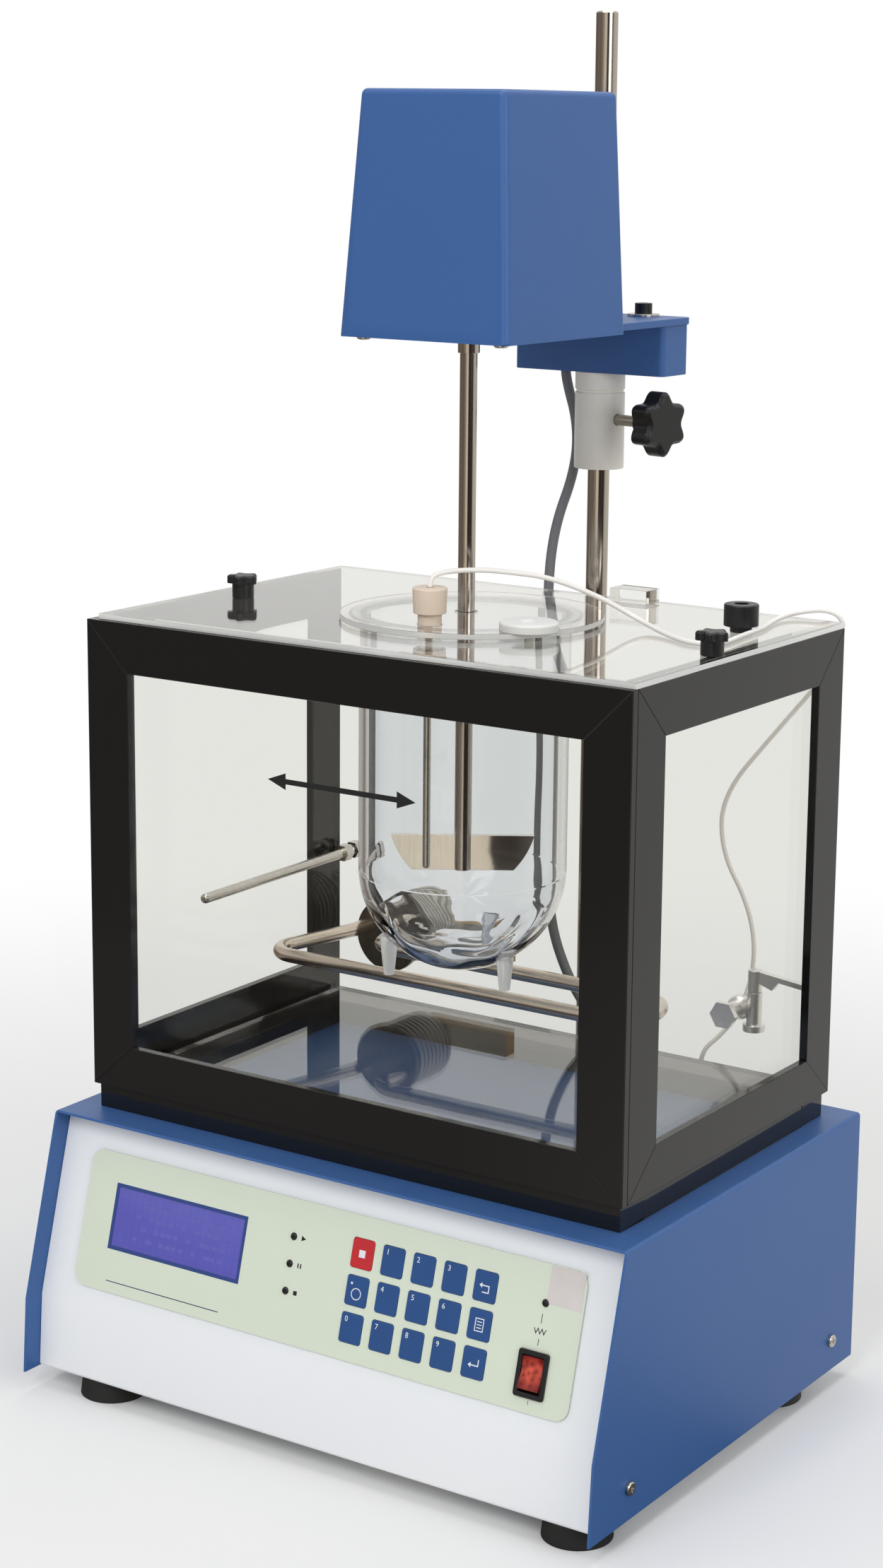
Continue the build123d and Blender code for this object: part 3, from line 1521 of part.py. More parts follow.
# Motor bracket on four posts, gearbox and motor can
bracket_plate_top = bracket_plate_z + bracket_plate
bracket_plate_middle = (bracket_plate_front + bracket_plate_back) / 2
with BuildPart() as motor_bracket:
    with BuildSketch(upright(0, bracket_plate_middle, bracket_plate_z)):
        RectangleRounded(2 * bracket_plate_x, bracket_plate_back - bracket_plate_front, beam_corner)
        with Locations((0, shaft_y - bracket_plate_middle)):
            Circle(bearing_radius + seat_gap / 4, mode=Mode.SUBTRACT)
        with Locations((0, pinion_y - bracket_plate_middle)):
            Circle(2 * pinion_shaft_radius, mode=Mode.SUBTRACT)
    extrude(amount=bracket_plate)
    with BuildSketch(upright(0, bracket_plate_middle, plate_top)):
        with GridLocations(
            2 * post_x, bracket_plate_back - bracket_plate_front - 2 * post_inset, 2, 2
        ):
            Circle(post_radius)
    extrude(amount=bracket_plate_z - plate_top)
with BuildPart() as gearbox:
    with BuildSketch(upright(0, pinion_y, bracket_plate_top)):
        Circle(gearbox_radius)
    extrude(amount=gearbox_height)
    with BuildSketch(upright(0, pinion_y, bracket_plate_top + gearbox_height)):
        Circle(motor_can_radius)
    extrude(amount=motor_can_height)
    chamfer(gearbox.faces().sort_by(Axis.Z)[-1].edges(), rod_chamfer)
    with BuildSketch(upright(0, pinion_y, bracket_plate_top)):
        Circle(pinion_shaft_radius + fit)
    extrude(amount=pinion_shaft_top - bracket_plate_top + fit, mode=Mode.SUBTRACT)
save("gear_motor", motor_bracket, gearbox)


def ball_bearing(bottom):
    """A ball bearing round the spindle as one ring, with a shield groove in both faces."""
    with BuildPart() as ring:
        with BuildSketch(upright(0, shaft_y, bottom)):
            Circle(bearing_radius)
            Circle(spindle_radius + fit, mode=Mode.SUBTRACT)
        extrude(amount=bearing_height)
        groove_outer = bearing_radius - 2
        groove_inner = spindle_radius + 2
        for groove_bottom in (bottom, bottom + bearing_height - bearing_groove):
            with BuildSketch(upright(0, shaft_y, groove_bottom)):
                Circle(groove_outer)
                Circle(groove_inner, mode=Mode.SUBTRACT)
            extrude(amount=bearing_groove, mode=Mode.SUBTRACT)
    return ring


save("spindle_bearings", ball_bearing(beam_top), ball_bearing(bracket_plate_z))

# Coupling: the spindle above and a chuck for the paddle shaft below
with BuildPart() as shaft_coupling:
    with BuildSketch(upright(0, shaft_y, coupling_bottom)):
        Circle(coupling_radius)
    extrude(amount=coupling_top - coupling_bottom)
    with BuildSketch(upright(0, shaft_y, coupling_top)):
        Circle(spindle_radius)
    extrude(amount=spindle_top - coupling_top)
    with BuildSketch(upright(0, shaft_y, coupling_bottom)):
        Circle(shaft_radius + fit)
    extrude(amount=shaft_top - coupling_bottom + seat_gap, mode=Mode.SUBTRACT)
save("shaft_coupling", shaft_coupling)

# Paddle shaft with its flat blade, square to the front right at rest
blade_turn = radians(blade_azimuth)
blade_plane = Plane(
    origin=(0, shaft_y, shaft_bottom),
    x_dir=(cos(blade_turn), sin(blade_turn), 0),
    z_dir=(sin(blade_turn), -cos(blade_turn), 0),
)
blade_bow = (blade_top_width + blade_bottom_width) / 4 + blade_edge_bow
with BuildPart() as paddle_shaft:
    with BuildSketch(upright(0, shaft_y, shaft_bottom)):
        Circle(shaft_radius)
    extrude(amount=shaft_top - shaft_bottom)
    with BuildSketch(blade_plane):
        with BuildLine():
            Line((-blade_bottom_width / 2, 0), (blade_bottom_width / 2, 0))
            ThreePointArc(
                (blade_bottom_width / 2, 0),
                (blade_bow, blade_height / 2),
                (blade_top_width / 2, blade_height),
            )
            Line((blade_top_width / 2, blade_height), (-blade_top_width / 2, blade_height))
            ThreePointArc(
                (-blade_top_width / 2, blade_height),
                (-blade_bow, blade_height / 2),
                (-blade_bottom_width / 2, 0),
            )
        make_face()
    extrude(amount=blade_thickness / 2, both=True)
save("paddle_shaft", paddle_shaft)


def cord_radii(name, points, radius):
    """The bend at each corner of a cable: 0.45 of its shorter run over the half turn's tangent."""
    radii = []
    for before, corner, after in zip(points, points[1:], points[2:]):
        run_in = Vector(*corner) - Vector(*before)
        run_out = Vector(*after) - Vector(*corner)
        turn = radians(run_in.get_angle(run_out))
        radii.append(0.45 * min(run_in.length, run_out.length) / tan(turn / 2))
    print(name, "bend radii", [round(bend, 1) for bend in radii], "cable radius", radius)
    return radii


def cable(name, points, radius):
    """A round cable along straight runs joined by tangent arcs."""
    first_run = Vector(*points[1]) - Vector(*points[0])
    with BuildPart() as tube:
        with BuildLine() as route:
            FilletPolyline(*points, radius=cord_radii(name, points, radius))
        with BuildSketch(Plane(origin=points[0], z_dir=first_run)):
            Circle(radius)
        sweep()
    length = sum(edge.length for edge in route.edges())
    expected = pi * radius**2 * length
    print(name, "length", round(length, 1), "volume share", round(tube.part.volume / expected, 4))
    return tube


# Motor cable: down from the beam beside the collar, then behind the bath to its gland
motor_cable_start = collar_top - grommet_lip
gland_top = base_top + gland_height
motor_route = [
    (grommet_x, grommet_y, motor_cable_start),
    (grommet_x, grommet_y, 565.5),
    (-17.8, 145.8, 539),
    (-18, 143.5, 512),
    (-26.5, 134.5, 478),
    (-26, 127.5, 438),
    (-21.5, 125.5, 394),
    (-18, 125, 345),
    (-20.5, 125, 293),
    (-18, 125, 243),
    (-4, 124.8, 209),
    (motor_gland_x, gland_y, 188),
    (motor_gland_x, gland_y, gland_top),
]
save("motor_cable", cable("motor_cable", motor_route, motor_cable_radius))

# Probe cable: up from the stopper, over to the lid's right side, and down behind the bath
probe_on_lid = lid_top + probe_cable_radius + seat_gap
probe_route = [
    (stopper_x, stopper_y, stopper_top),
    (stopper_x, stopper_y, stopper_top + 6.5),
    (13.5, -39, 480),
    (28, -25.8, 481.5),
    (40, -15, 478.5),
    (56, -0.5, 473),
    (76, 17.5, 459.5),
    (92, 32, 448.6),
    (118, 17, probe_on_lid),
    (145, -1, probe_on_lid),
    (158, 10, probe_on_lid),
    (154, 36, probe_on_lid),
    (152, 64, probe_on_lid),
    (144, 92, probe_on_lid),
    (144, 116, 447.5),
    (160, 128, 449.5),
    (166, 138, 440),
    (152, 144, 412),
    (118, 145, 372),
    (84, 145, 330),
    (85, 145, 296),
    (104, 145, 267),
    (110, 145, 236),
    (102, 145, 204),
    (93, 136, 188),
    (probe_gland_x, gland_y, 180),
    (probe_gland_x, gland_y, gland_top),
]
save("probe_cable", cable("probe_cable", probe_route, probe_cable_radius))
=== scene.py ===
# %% [markdown]
# A tablet dissolution tester, dressed for its portrait
#
# The object is a bench instrument: a painted sheet-metal cabinet carries a clear water bath, a
# glass vessel hangs in the bath's lid, and a motor head on a steel rod turns a paddle in it.
# The solids come ready from the CAD frame, so this lesson is about everything that CAD leaves
# out: soft edges that catch light, paint with a skin, clear plastic with a real thickness,
# printed marks, cables that sag, and a studio.

import math

import bmesh
import bpy
from mathutils import Matrix, Vector


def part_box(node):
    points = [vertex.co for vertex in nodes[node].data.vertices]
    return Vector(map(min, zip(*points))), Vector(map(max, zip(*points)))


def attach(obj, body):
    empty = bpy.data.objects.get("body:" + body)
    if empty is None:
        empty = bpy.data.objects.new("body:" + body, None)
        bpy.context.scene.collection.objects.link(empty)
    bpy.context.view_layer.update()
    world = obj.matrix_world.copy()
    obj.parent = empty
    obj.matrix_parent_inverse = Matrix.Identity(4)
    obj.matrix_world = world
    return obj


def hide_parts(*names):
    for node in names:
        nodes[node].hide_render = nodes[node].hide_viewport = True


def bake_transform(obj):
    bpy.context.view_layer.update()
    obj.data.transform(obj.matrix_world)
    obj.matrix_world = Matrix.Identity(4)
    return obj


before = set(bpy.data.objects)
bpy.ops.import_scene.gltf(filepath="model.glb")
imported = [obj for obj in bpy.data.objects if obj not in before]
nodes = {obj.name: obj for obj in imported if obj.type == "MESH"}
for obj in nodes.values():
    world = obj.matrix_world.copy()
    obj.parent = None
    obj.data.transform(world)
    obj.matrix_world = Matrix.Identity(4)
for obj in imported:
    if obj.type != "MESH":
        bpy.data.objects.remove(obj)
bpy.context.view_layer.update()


# %% New objects
def new_object(name, data):
    """An object with its data, linked to the scene."""
    made = bpy.data.objects.new(name, data)
    bpy.context.scene.collection.objects.link(made)
    return made


# %% [markdown]
# The camera
#
# A photograph fixes seven things about its camera: where it stands, where it looks, how it is
# rolled, and how long its lens is. They were solved beforehand from the straight edges of the
# bath. The view's middle isn't the picture's middle, because the picture was cropped, so the
# camera gets a small shift. A shift is a share of the picture's longer side.

# %% Camera
PICTURE_WIDTH = 1249
PICTURE_HEIGHT = 2219
LENS_PIXELS = 4181.5
VIEW_MIDDLE_X = 726.8
VIEW_MIDDLE_Y = 1045.6
CAMERA_PLACE = Vector((0.89415, -1.33241, 0.71371))
CAMERA_YAW = 0.5731
CAMERA_PITCH = 0.2066
CAMERA_ROLL = 0.0136
SENSOR = 36

ahead = Vector((
    -math.sin(CAMERA_YAW) * math.cos(CAMERA_PITCH),
    math.cos(CAMERA_YAW) * math.cos(CAMERA_PITCH),
    -math.sin(CAMERA_PITCH),
))
level_right = Vector((math.cos(CAMERA_YAW), math.sin(CAMERA_YAW), 0))
level_up = level_right.cross(ahead)
camera_right = level_right * math.cos(CAMERA_ROLL) + level_up * math.sin(CAMERA_ROLL)
camera_up = camera_right.cross(ahead)
lens = bpy.data.cameras.new("portrait_lens")
lens.sensor_width = SENSOR
lens.lens = SENSOR * LENS_PIXELS / PICTURE_HEIGHT
lens.shift_x = (PICTURE_WIDTH / 2 - VIEW_MIDDLE_X) / PICTURE_HEIGHT
lens.shift_y = (VIEW_MIDDLE_Y - PICTURE_HEIGHT / 2) / PICTURE_HEIGHT
camera = new_object("portrait_camera", lens)
turn = Matrix((camera_right, camera_up, -ahead)).transposed()
camera.matrix_world = Matrix.Translation(CAMERA_PLACE) @ turn.to_4x4()
bpy.context.scene.camera = camera
print("lens", round(lens.lens, 2), "mm, shift", round(lens.shift_x, 4), round(lens.shift_y, 4))

# %% [markdown]
# Two cables
#
# The grey cable feeds the motor: it leaves the arm beside the collar, hangs down behind the
# bath and enters a gland on the cabinet. The thin white one belongs to the temperature probe:
# it arches out of the stopper, lies across the lid and drops behind the bath. Neither is
# under tension, so neither has a straight run. A NURBS spline through a handful of given
# points gives that slack. Its order is set after the points are added, because an empty
# spline quietly keeps order 2, which is a chain of straight lines.

# %% Cable helpers
MM = 0.001


def cable_line(name, route):
    """The smooth centreline of a cable, as points read back from a NURBS spline."""
    curve = bpy.data.curves.new(name + "_line", "CURVE")
    curve.dimensions = "3D"
    curve.resolution_u = 10
    spline = curve.splines.new("NURBS")
    spline.points.add(len(route) - 1)
    for point, place in zip(spline.points, route):
        point.co = (place[0] * MM, place[1] * MM, place[2] * MM, 1)
    spline.order_u = 3
    spline.use_endpoint_u = True
    holder = bpy.data.objects.new(name + "_line", curve)
    line = bpy.data.meshes.new_from_object(holder)
    points = [vertex.co.copy() for vertex in line.vertices]
    bpy.data.objects.remove(holder)
    bpy.data.meshes.remove(line)
    return points


def tube(name, points, radius, sides=14):
    """A closed round tube along points, with a frame that is carried on without twisting."""
    mesh = bmesh.new()
    along = (points[1] - points[0]).normalized()
    across = along.orthogonal().normalized()
    rings = []
    for i, point in enumerate(points):
        before = points[max(i - 1, 0)]
        after = points[min(i + 1, len(points) - 1)]
        new_along = (after - before).normalized()
        across = (across - new_along * across.dot(new_along)).normalized()
        other = new_along.cross(across)
        ring = []
        for side in range(sides):
            angle = 2 * math.pi * side / sides
            offset = across * math.cos(angle) + other * math.sin(angle)
            ring.append(mesh.verts.new(point + offset * radius))
        rings.append(ring)
    for low, high in zip(rings, rings[1:]):
        for side in range(sides):
            after = (side + 1) % sides
            mesh.faces.new((low[side], low[after], high[after], high[side]))
    mesh.faces.new(reversed(rings[0]))
    mesh.faces.new(rings[-1])
    return from_bmesh(name, mesh, smooth=True)


def mesh_data(name, mesh):
    """Mesh data from a bmesh, which is freed."""
    data = bpy.data.meshes.new(name)
    mesh.to_mesh(data)
    mesh.free()
    return data


def from_bmesh(name, mesh, smooth):
    """A new object from a bmesh, with smooth or flat faces."""
    bmesh.ops.recalc_face_normals(mesh, faces=mesh.faces)
    for face in mesh.faces:
        face.smooth = smooth
    return new_object(name, mesh_data(name, mesh))


def length_of(points):
    """The length of a chain of points."""
    return sum((b - a).length for a, b in zip(points, points[1:]))


# %% The motor's grey cable
GLAND_TOP = 168
MOTOR_CABLE_THICK = 0.006
motor_route = [
    (-27, 146, 570.1),
    (-27, 146, 565.5),
    (-17.8, 145.8, 539),
    (-18, 143.5, 512),
    (-26.5, 134.5, 478),
    (-26, 127.5, 438),
    (-21.5, 125.5, 394),
    (-18, 125, 345),
    (-20.5, 125, 293),
    (-18, 125, 243),
    (-4, 124.8, 209),
    (14, 124.3, 188),
    (14, 124.3, GLAND_TOP),
]
motor_line = cable_line("motor_cable", motor_route)
motor_lead = tube("motor_lead", motor_line, MOTOR_CABLE_THICK / 2)
print("motor cable", round(length_of(motor_line), 3), "m")

# %% The probe's white cable
PROBE_CABLE_THICK = 0.0028
ON_LID = 446.2
probe_route = [
    (8, -44, 468.4),
    (8, -44, 473.6),
    (13.5, -39, 476.8),
    (28, -25.8, 477.6),
    (40, -15, 476),
    (56, -0.5, 473),
    (76, 17.5, 462.5),
    (93, 32, 449.5),
    (118, 17, ON_LID),
    (145, -1, ON_LID),
    (158, 10, ON_LID),
    (154, 36, ON_LID),
    (152, 64, ON_LID),
    (144, 92, ON_LID),
    (144, 116, 447.5),
    (160, 128, 449.5),
    (166, 138, 440),
    (152, 144, 412),
    (118, 145, 372),
    (84, 145, 330),
    (85, 145, 296),
    (104, 145, 267),
    (110, 145, 236),
    (102, 145, 204),
    (93, 136, 188),
    (86, 124.3, 180),
    (86, 124.3, GLAND_TOP),
]
probe_line = cable_line("probe_cable", probe_route)
probe_lead = tube("probe_lead", probe_line, PROBE_CABLE_THICK / 2, sides=10)
print("probe cable", round(length_of(probe_line), 3), "m")

# %% The CAD's cable nodes hidden
# The two leads above take the place of the CAD's cable nodes, so those are hidden, and each
# lead's place is baked into its mesh.
for lead, line, thick, node, slot in [
    (motor_lead, motor_line, MOTOR_CABLE_THICK, "motor_cable", "grey_cable"),
    (probe_lead, probe_line, PROBE_CABLE_THICK, "probe_cable", "white_plastic"),
]:
    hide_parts(node)
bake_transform(motor_lead)
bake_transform(probe_lead)

# %% [markdown]
# Shader tools
#
# A finish is a handful of nodes wired in the same few ways, so one helper makes a node, sets
# its sockets and links what is given as a socket. Colours are written as they look on screen,
# in hexadecimal, and turned to the linear values that a renderer counts in.


# %% Shader helpers
def colour(hexadecimal):
    """A screen colour such as 3E639B as linear red, green, blue and alpha."""
    parts = [int(hexadecimal[i:i + 2], 16) / 255 for i in (0, 2, 4)]
    linear = [p / 12.92 if p <= 0.04045 else ((p + 0.055) / 1.055) ** 2.4 for p in parts]
    return (*linear, 1)


def feed(tree, socket, value):
    """Link a socket to another one, or set it to a value. Text is a screen colour."""
    if isinstance(value, bpy.types.NodeSocket):
        tree.links.new(value, socket)
    else:
        socket.default_value = colour(value) if isinstance(value, str) else value


def add(tree, kind, sockets=None, **settings):
    """A node of a kind, with its settings, and each socket either set or linked."""
    made = tree.nodes.new("ShaderNode" + kind)
    for name, value in settings.items():
        setattr(made, name, value)
    for name, value in (sockets or {}).items():
        feed(tree, made.inputs[name], value)
    return made


def math_node(tree, operation, first, second):
    """The result of one sum, product or comparison."""
    return add(tree, "Math", {0: first, 1: second}, operation=operation).outputs[0]


def mix_colour(tree, factor, first, second):
    """Two colours mixed by a factor."""
    node = add(tree, "Mix", data_type="RGBA")
    for name, value in (("Factor", factor), ("A", first), ("B", second)):
        kind = "VALUE" if name == "Factor" else "RGBA"
        feed(tree, next(s for s in node.inputs if s.name == name and s.type == kind), value)
    return next(s for s in node.outputs if s.type == "RGBA")


def new_group(name, takes, gives):
    """An empty shader node group with its sockets, and the sockets of its two end nodes."""
    group = bpy.data.node_groups.new(name, "ShaderNodeTree")
    for way, sockets in (("INPUT", takes), ("OUTPUT", gives)):
        for socket, kind in sockets.items():
            group.interface.new_socket(socket, in_out=way, socket_type="NodeSocket" + kind)
    inside = group.nodes.new("NodeGroupInput").outputs
    return group, inside, group.nodes.new("NodeGroupOutput").inputs


def place_group(tree, group, values):
    """A group placed in a material, with its own values."""
    node = tree.nodes.new("ShaderNodeGroup")
    node.node_tree = group
    for name, value in values.items():
        feed(tree, node.inputs[name], value)
    return node.outputs


def new_material(name):
    """A material with one Principled BSDF, its tree and that shader."""
    made = bpy.data.materials.new(name)
    made.use_nodes = True
    tree = made.node_tree
    shader = tree.nodes["Principled BSDF"]
    return made, tree, shader


def bump(tree, shader, height, distance):
    """Feed a height to a shader's normal. The distance is in metres."""
    node = add(tree, "Bump", {"Height": height, "Distance": distance, "Strength": 1})
    tree.links.new(node.outputs["Normal"], shader.inputs["Normal"])


# %% [markdown]
# Skin, wear and dust
#
# Powder paint isn't flat: it sets with a faint orange peel, a millimetre or so across, and its
# colour drifts a little from place to place. Moulded plastic has a finer, sharper grain. Both
# are noise of a chosen scale, so one group called Skin serves them all. A second group,
# Settled Dust, greys whatever faces up. A third, Drawn Metal, stretches noise along one axis,
# as a die or a lathe leaves it. A fourth, Handled Gloss, makes the soft smears that show on
# shiny sheet.

# %% Group: Skin
skin, take, give = new_group(
    "Skin",
    {"Colour": "Color", "Shade": "Color", "Patches": "Float", "Grain": "Float",
     "Roughness": "Float", "Uneven": "Float"},
    {"Colour": "Color", "Roughness": "Float", "Height": "Float"},
)
where = add(skin, "TexCoord").outputs["Object"]
patches = add(skin, "TexNoise", {"Vector": where, "Scale": take["Patches"], "Detail": 3.0})
grain = add(skin, "TexNoise", {"Vector": where, "Scale": take["Grain"], "Detail": 2.0})
skin.links.new(
    mix_colour(skin, patches.outputs[0], take["Colour"], take["Shade"]), give["Colour"]
)
swing = math_node(skin, "SUBTRACT", patches.outputs[0], 0.5)
spread = math_node(skin, "MULTIPLY", swing, take["Uneven"])
skin.links.new(math_node(skin, "ADD", take["Roughness"], spread), give["Roughness"])
skin.links.new(grain.outputs[0], give["Height"])

# %% Group: Settled Dust
dust, take, give = new_group(
    "Settled Dust", {"Colour": "Color", "Dust": "Color", "Amount": "Float"}, {"Colour": "Color"}
)
up = add(dust, "SeparateXYZ", {0: add(dust, "NewGeometry").outputs["Normal"]}).outputs["Z"]
faces_up = add(dust, "MapRange", {"Value": up, "From Min": 0.2, "From Max": 0.95}).outputs[0]
where = add(dust, "TexCoord").outputs["Object"]
motes = add(dust, "TexNoise", {"Vector": where, "Scale": 60.0, "Detail": 6.0}).outputs[0]
mask = math_node(dust, "MULTIPLY", math_node(dust, "MULTIPLY", faces_up, motes), take["Amount"])
dust.links.new(mix_colour(dust, mask, take["Colour"], take["Dust"]), give["Colour"])

# %% Group: Drawn Metal
drawn, take, give = new_group(
    "Drawn Metal",
    {"Stretch": "Vector", "Light": "Color", "Dark": "Color", "Roughness": "Float",
     "Uneven": "Float"},
    {"Colour": "Color", "Roughness": "Float", "Height": "Float"},
)
where = add(drawn, "TexCoord").outputs["Object"]
stretched = add(drawn, "VectorMath", {0: where, 1: take["Stretch"]}, operation="MULTIPLY")
lines = add(drawn, "TexNoise", {"Vector": stretched.outputs[0], "Scale": 1.0, "Detail": 4.0})
drawn.links.new(
    mix_colour(drawn, lines.outputs[0], take["Light"], take["Dark"]), give["Colour"]
)
spread = math_node(drawn, "MULTIPLY", lines.outputs[0], take["Uneven"])
drawn.links.new(math_node(drawn, "ADD", take["Roughness"], spread), give["Roughness"])
drawn.links.new(lines.outputs[0], give["Height"])

# %% Group: Handled Gloss
handled, take, give = new_group(
    "Handled Gloss",
    {"Clean": "Float", "Smeared": "Float", "Size": "Float"},
    {"Roughness": "Float", "Height": "Float"},
)
where = add(handled, "TexCoord").outputs["Object"]
smears = add(handled, "TexNoise", {"Vector": where, "Scale": take["Size"], "Detail": 5.0,
                                   "Distortion": 1.5})
mask = add(handled, "MapRange", {"Value": smears.outputs[0], "From Min": 0.5, "From Max": 0.75,
                                 "To Min": take["Clean"], "To Max": take["Smeared"]})
handled.links.new(mask.outputs[0], give["Roughness"])
waves = add(handled, "TexNoise", {"Vector": where, "Scale": 22.0, "Detail": 1.0})
handled.links.new(waves.outputs[0], give["Height"])
print("groups", [group.name for group in bpy.data.node_groups])

# %% [markdown]
# Paint
#
# The cabinet's cover, the head and the arm have one blue powder coat, and the folded front
# sheet is white. Powder coat is a matt plastic layer under a faint gloss, so the shader is a
# plain dielectric with a light coat, and its peel is a bump of some hundredths of a
# millimetre. Under the coat it is built like moulded plastic, so both share one recipe.


# %% Painted sheet
def skinned(name, main, shade, roughness, patches, grain, uneven, dirt, dust_amount, depth):
    """A dielectric with the Skin group, dust on top and the grain as a bump."""
    made, tree, shader = new_material(name)
    out = place_group(tree, skin, {
        "Colour": main, "Shade": shade, "Patches": patches, "Grain": grain,
        "Roughness": roughness, "Uneven": uneven,
    })
    dusty = place_group(tree, dust, {
        "Colour": out["Colour"], "Dust": dirt, "Amount": dust_amount,
    })
    tree.links.new(dusty["Colour"], shader.inputs["Base Color"])
    tree.links.new(out["Roughness"], shader.inputs["Roughness"])
    bump(tree, shader, out["Height"], depth)
    return made


def painted(name, main, shade, roughness):
    """Powder coat with orange peel."""
    made = skinned(name, main, shade, roughness, patches=7.0, grain=750.0, uneven=0.1,
                   dirt="B9B8B2", dust_amount=0.06, depth=0.00006)
    shader = made.node_tree.nodes["Principled BSDF"]
    shader.inputs["Coat Weight"].default_value = 0.05
    shader.inputs["Coat Roughness"].default_value = 0.25
    return made


blue_paint = painted("blue powder coat", "33609E", "2F5A96", 0.45)
white_paint = painted("white powder coat", "F0F2F5", "EBEEF1", 0.40)
print("paints", blue_paint.name, "and", white_paint.name)

# %% [markdown]
# Clear plastic and glass
#
# The bath is cut from clear acrylic sheet and the vessel is blown glass. Both are real
# solids with two faces, so the shader only needs transmission and an index of refraction.
# The lid keeps the index of acrylic, 1.49. The panes and the vessel get a lower one, so they
# mirror less of the room, as they do when a photographer keeps the lamps off them. Where the
# sheet is sawn, and on the vessel's pressed feet, the surface is rough and half milky.
# Light that passes through clear sheet would need very many samples to land inside the bath,
# so shadow rays see a nearly clear stand-in, and the inside stays bright.


# %% Clear sheet
def clear(name, tint, index, clean, smeared, shadow, through=1):
    """A transparent solid that lets light through to what is behind it."""
    made, tree, shader = new_material(name)
    out = place_group(tree, handled, {"Clean": clean, "Smeared": smeared, "Size": 11.0})
    shader.inputs["Base Color"].default_value = colour(tint)
    shader.inputs["Transmission Weight"].default_value = through
    shader.inputs["IOR"].default_value = index
    tree.links.new(out["Roughness"], shader.inputs["Roughness"])
    bump(tree, shader, out["Height"], 0.00002)
    path = add(tree, "LightPath").outputs
    soft = math_node(tree, "MAXIMUM", path["Is Shadow Ray"], path["Is Diffuse Ray"])
    plain = add(tree, "BsdfTransparent", {"Color": shadow})
    mixed = add(tree, "MixShader", {0: soft, 1: shader.outputs[0], 2: plain.outputs[0]})
    tree.links.new(mixed.outputs[0], tree.nodes["Material Output"].inputs["Surface"])
    return made


acrylic = clear("clear acrylic sheet", "F7F6F3", 1.49, 0.0, 0.03, "F6F5F2")
pane_acrylic = clear("thin acrylic pane", "F8F8F6", 1.18, 0.0, 0.03, "F6F5F2")
sawn_acrylic = clear("sawn acrylic edge", "F6F6F3", 1.49, 0.35, 0.6, "EDECE8", through=0.3)
vessel_glass = clear("blown glass", "F6F8FB", 1.35, 0.0, 0.0, "F2F4F8")
pressed_glass = clear("pressed glass foot", "F2F4F6", 1.35, 0.25, 0.4, "F2F4F8", through=0.55)

# %% [markdown]
# Ripples in the glass
#
# The vessel's straight wall is drawn tube, but its round bottom is closed by hand, so the
# glass ripples there. The ripples could be modelled, but a bump bends the light just as well
# and leaves the solid as it is. It fades in between two heights above the vessel's feet.

# %% Ripples in the vessel's bottom
VESSEL_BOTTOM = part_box("vessel")[0].z
RIPPLES_START = VESSEL_BOTTOM + 0.060
RIPPLES_FULL = VESSEL_BOTTOM + 0.035
RIPPLE_DEPTH = 0.008
tree = vessel_glass.node_tree
shader = tree.nodes["Principled BSDF"]
place = add(tree, "TexCoord").outputs["Object"]
ripples = add(tree, "TexNoise", {"Vector": place, "Scale": 26.0, "Detail": 0.0, "Distortion": 0.6})
height = add(tree, "SeparateXYZ", {0: place}).outputs["Z"]
low_down = add(tree, "MapRange", {
    "Value": height, "From Min": RIPPLES_START, "From Max": RIPPLES_FULL,
}).outputs[0]
bump(tree, shader, math_node(tree, "MULTIPLY", ripples.outputs[0], low_down), RIPPLE_DEPTH)
print("ripples below", round(RIPPLES_START, 3), "m")

# %% [markdown]
# Black strip and black plastic
#
# The bath's corners are hidden by strips of polished black acrylic, glossy enough to mirror
# the room. The hand knobs, the filler cap and the switch frame are moulded with a soft satin
# grain, and the feet are dull rubber that holds dust. The same moulding recipe, with other
# colours, gives the stopper, the keys, the overlay's film, the boards, the cables and the inks.


# %% Black finishes
def polished_black(name, main):
    """Glossy black sheet with smears and a trace of dust."""
    made, tree, shader = new_material(name)
    out = place_group(tree, handled, {"Clean": 0.07, "Smeared": 0.2, "Size": 9.0})
    dusty = place_group(tree, dust, {"Colour": main, "Dust": "6A6864", "Amount": 0.12})
    tree.links.new(dusty["Colour"], shader.inputs["Base Color"])
    tree.links.new(out["Roughness"], shader.inputs["Roughness"])
    shader.inputs["IOR"].default_value = 1.49
    bump(tree, shader, out["Height"], 0.00004)
    return made


def moulded(name, main, shade, roughness, grain=1600.0, depth=0.00003, dust_amount=0.0):
    """Moulded plastic or rubber: an even colour, a fine grain, and dust if it gathers any."""
    return skinned(name, main, shade, roughness, patches=40.0, grain=grain, uneven=0.12,
                   dirt="8C8A86", dust_amount=dust_amount, depth=depth)


black_strip = polished_black("black acrylic strip", "131415")
black_plastic = moulded("black moulding", "101012", "161618", 0.38, dust_amount=0.1)
rubber = moulded("foot rubber", "1B1B1C", "232322", 0.75, grain=2200.0, dust_amount=0.3)
cream_plastic = moulded("cream stopper", "EEDCCA", "E6D2BC", 0.5)
white_plastic = moulded("white plug", "EFEFEC", "E6E6E2", 0.4)
overlay_film = moulded("overlay film", "D9E2D1", "D5DECC", 0.4, grain=3000.0, depth=0.00001)
key_blue = moulded("blue key", "24508C", "1F4880", 0.38)
key_red = moulded("red key", "C8262F", "BB2028", 0.38)
tan_board = moulded("tan terminal block", "B79A70", "A88A60", 0.6, dust_amount=0.1)
green_board = moulded("board lacquer", "1C5A36", "17502F", 0.35, dust_amount=0.1)
grey_sheath = moulded("grey sheath", "7F8185", "77797D", 0.45)
white_sheath = moulded("white sheath", "F4F1EC", "ECE8E2", 0.4)
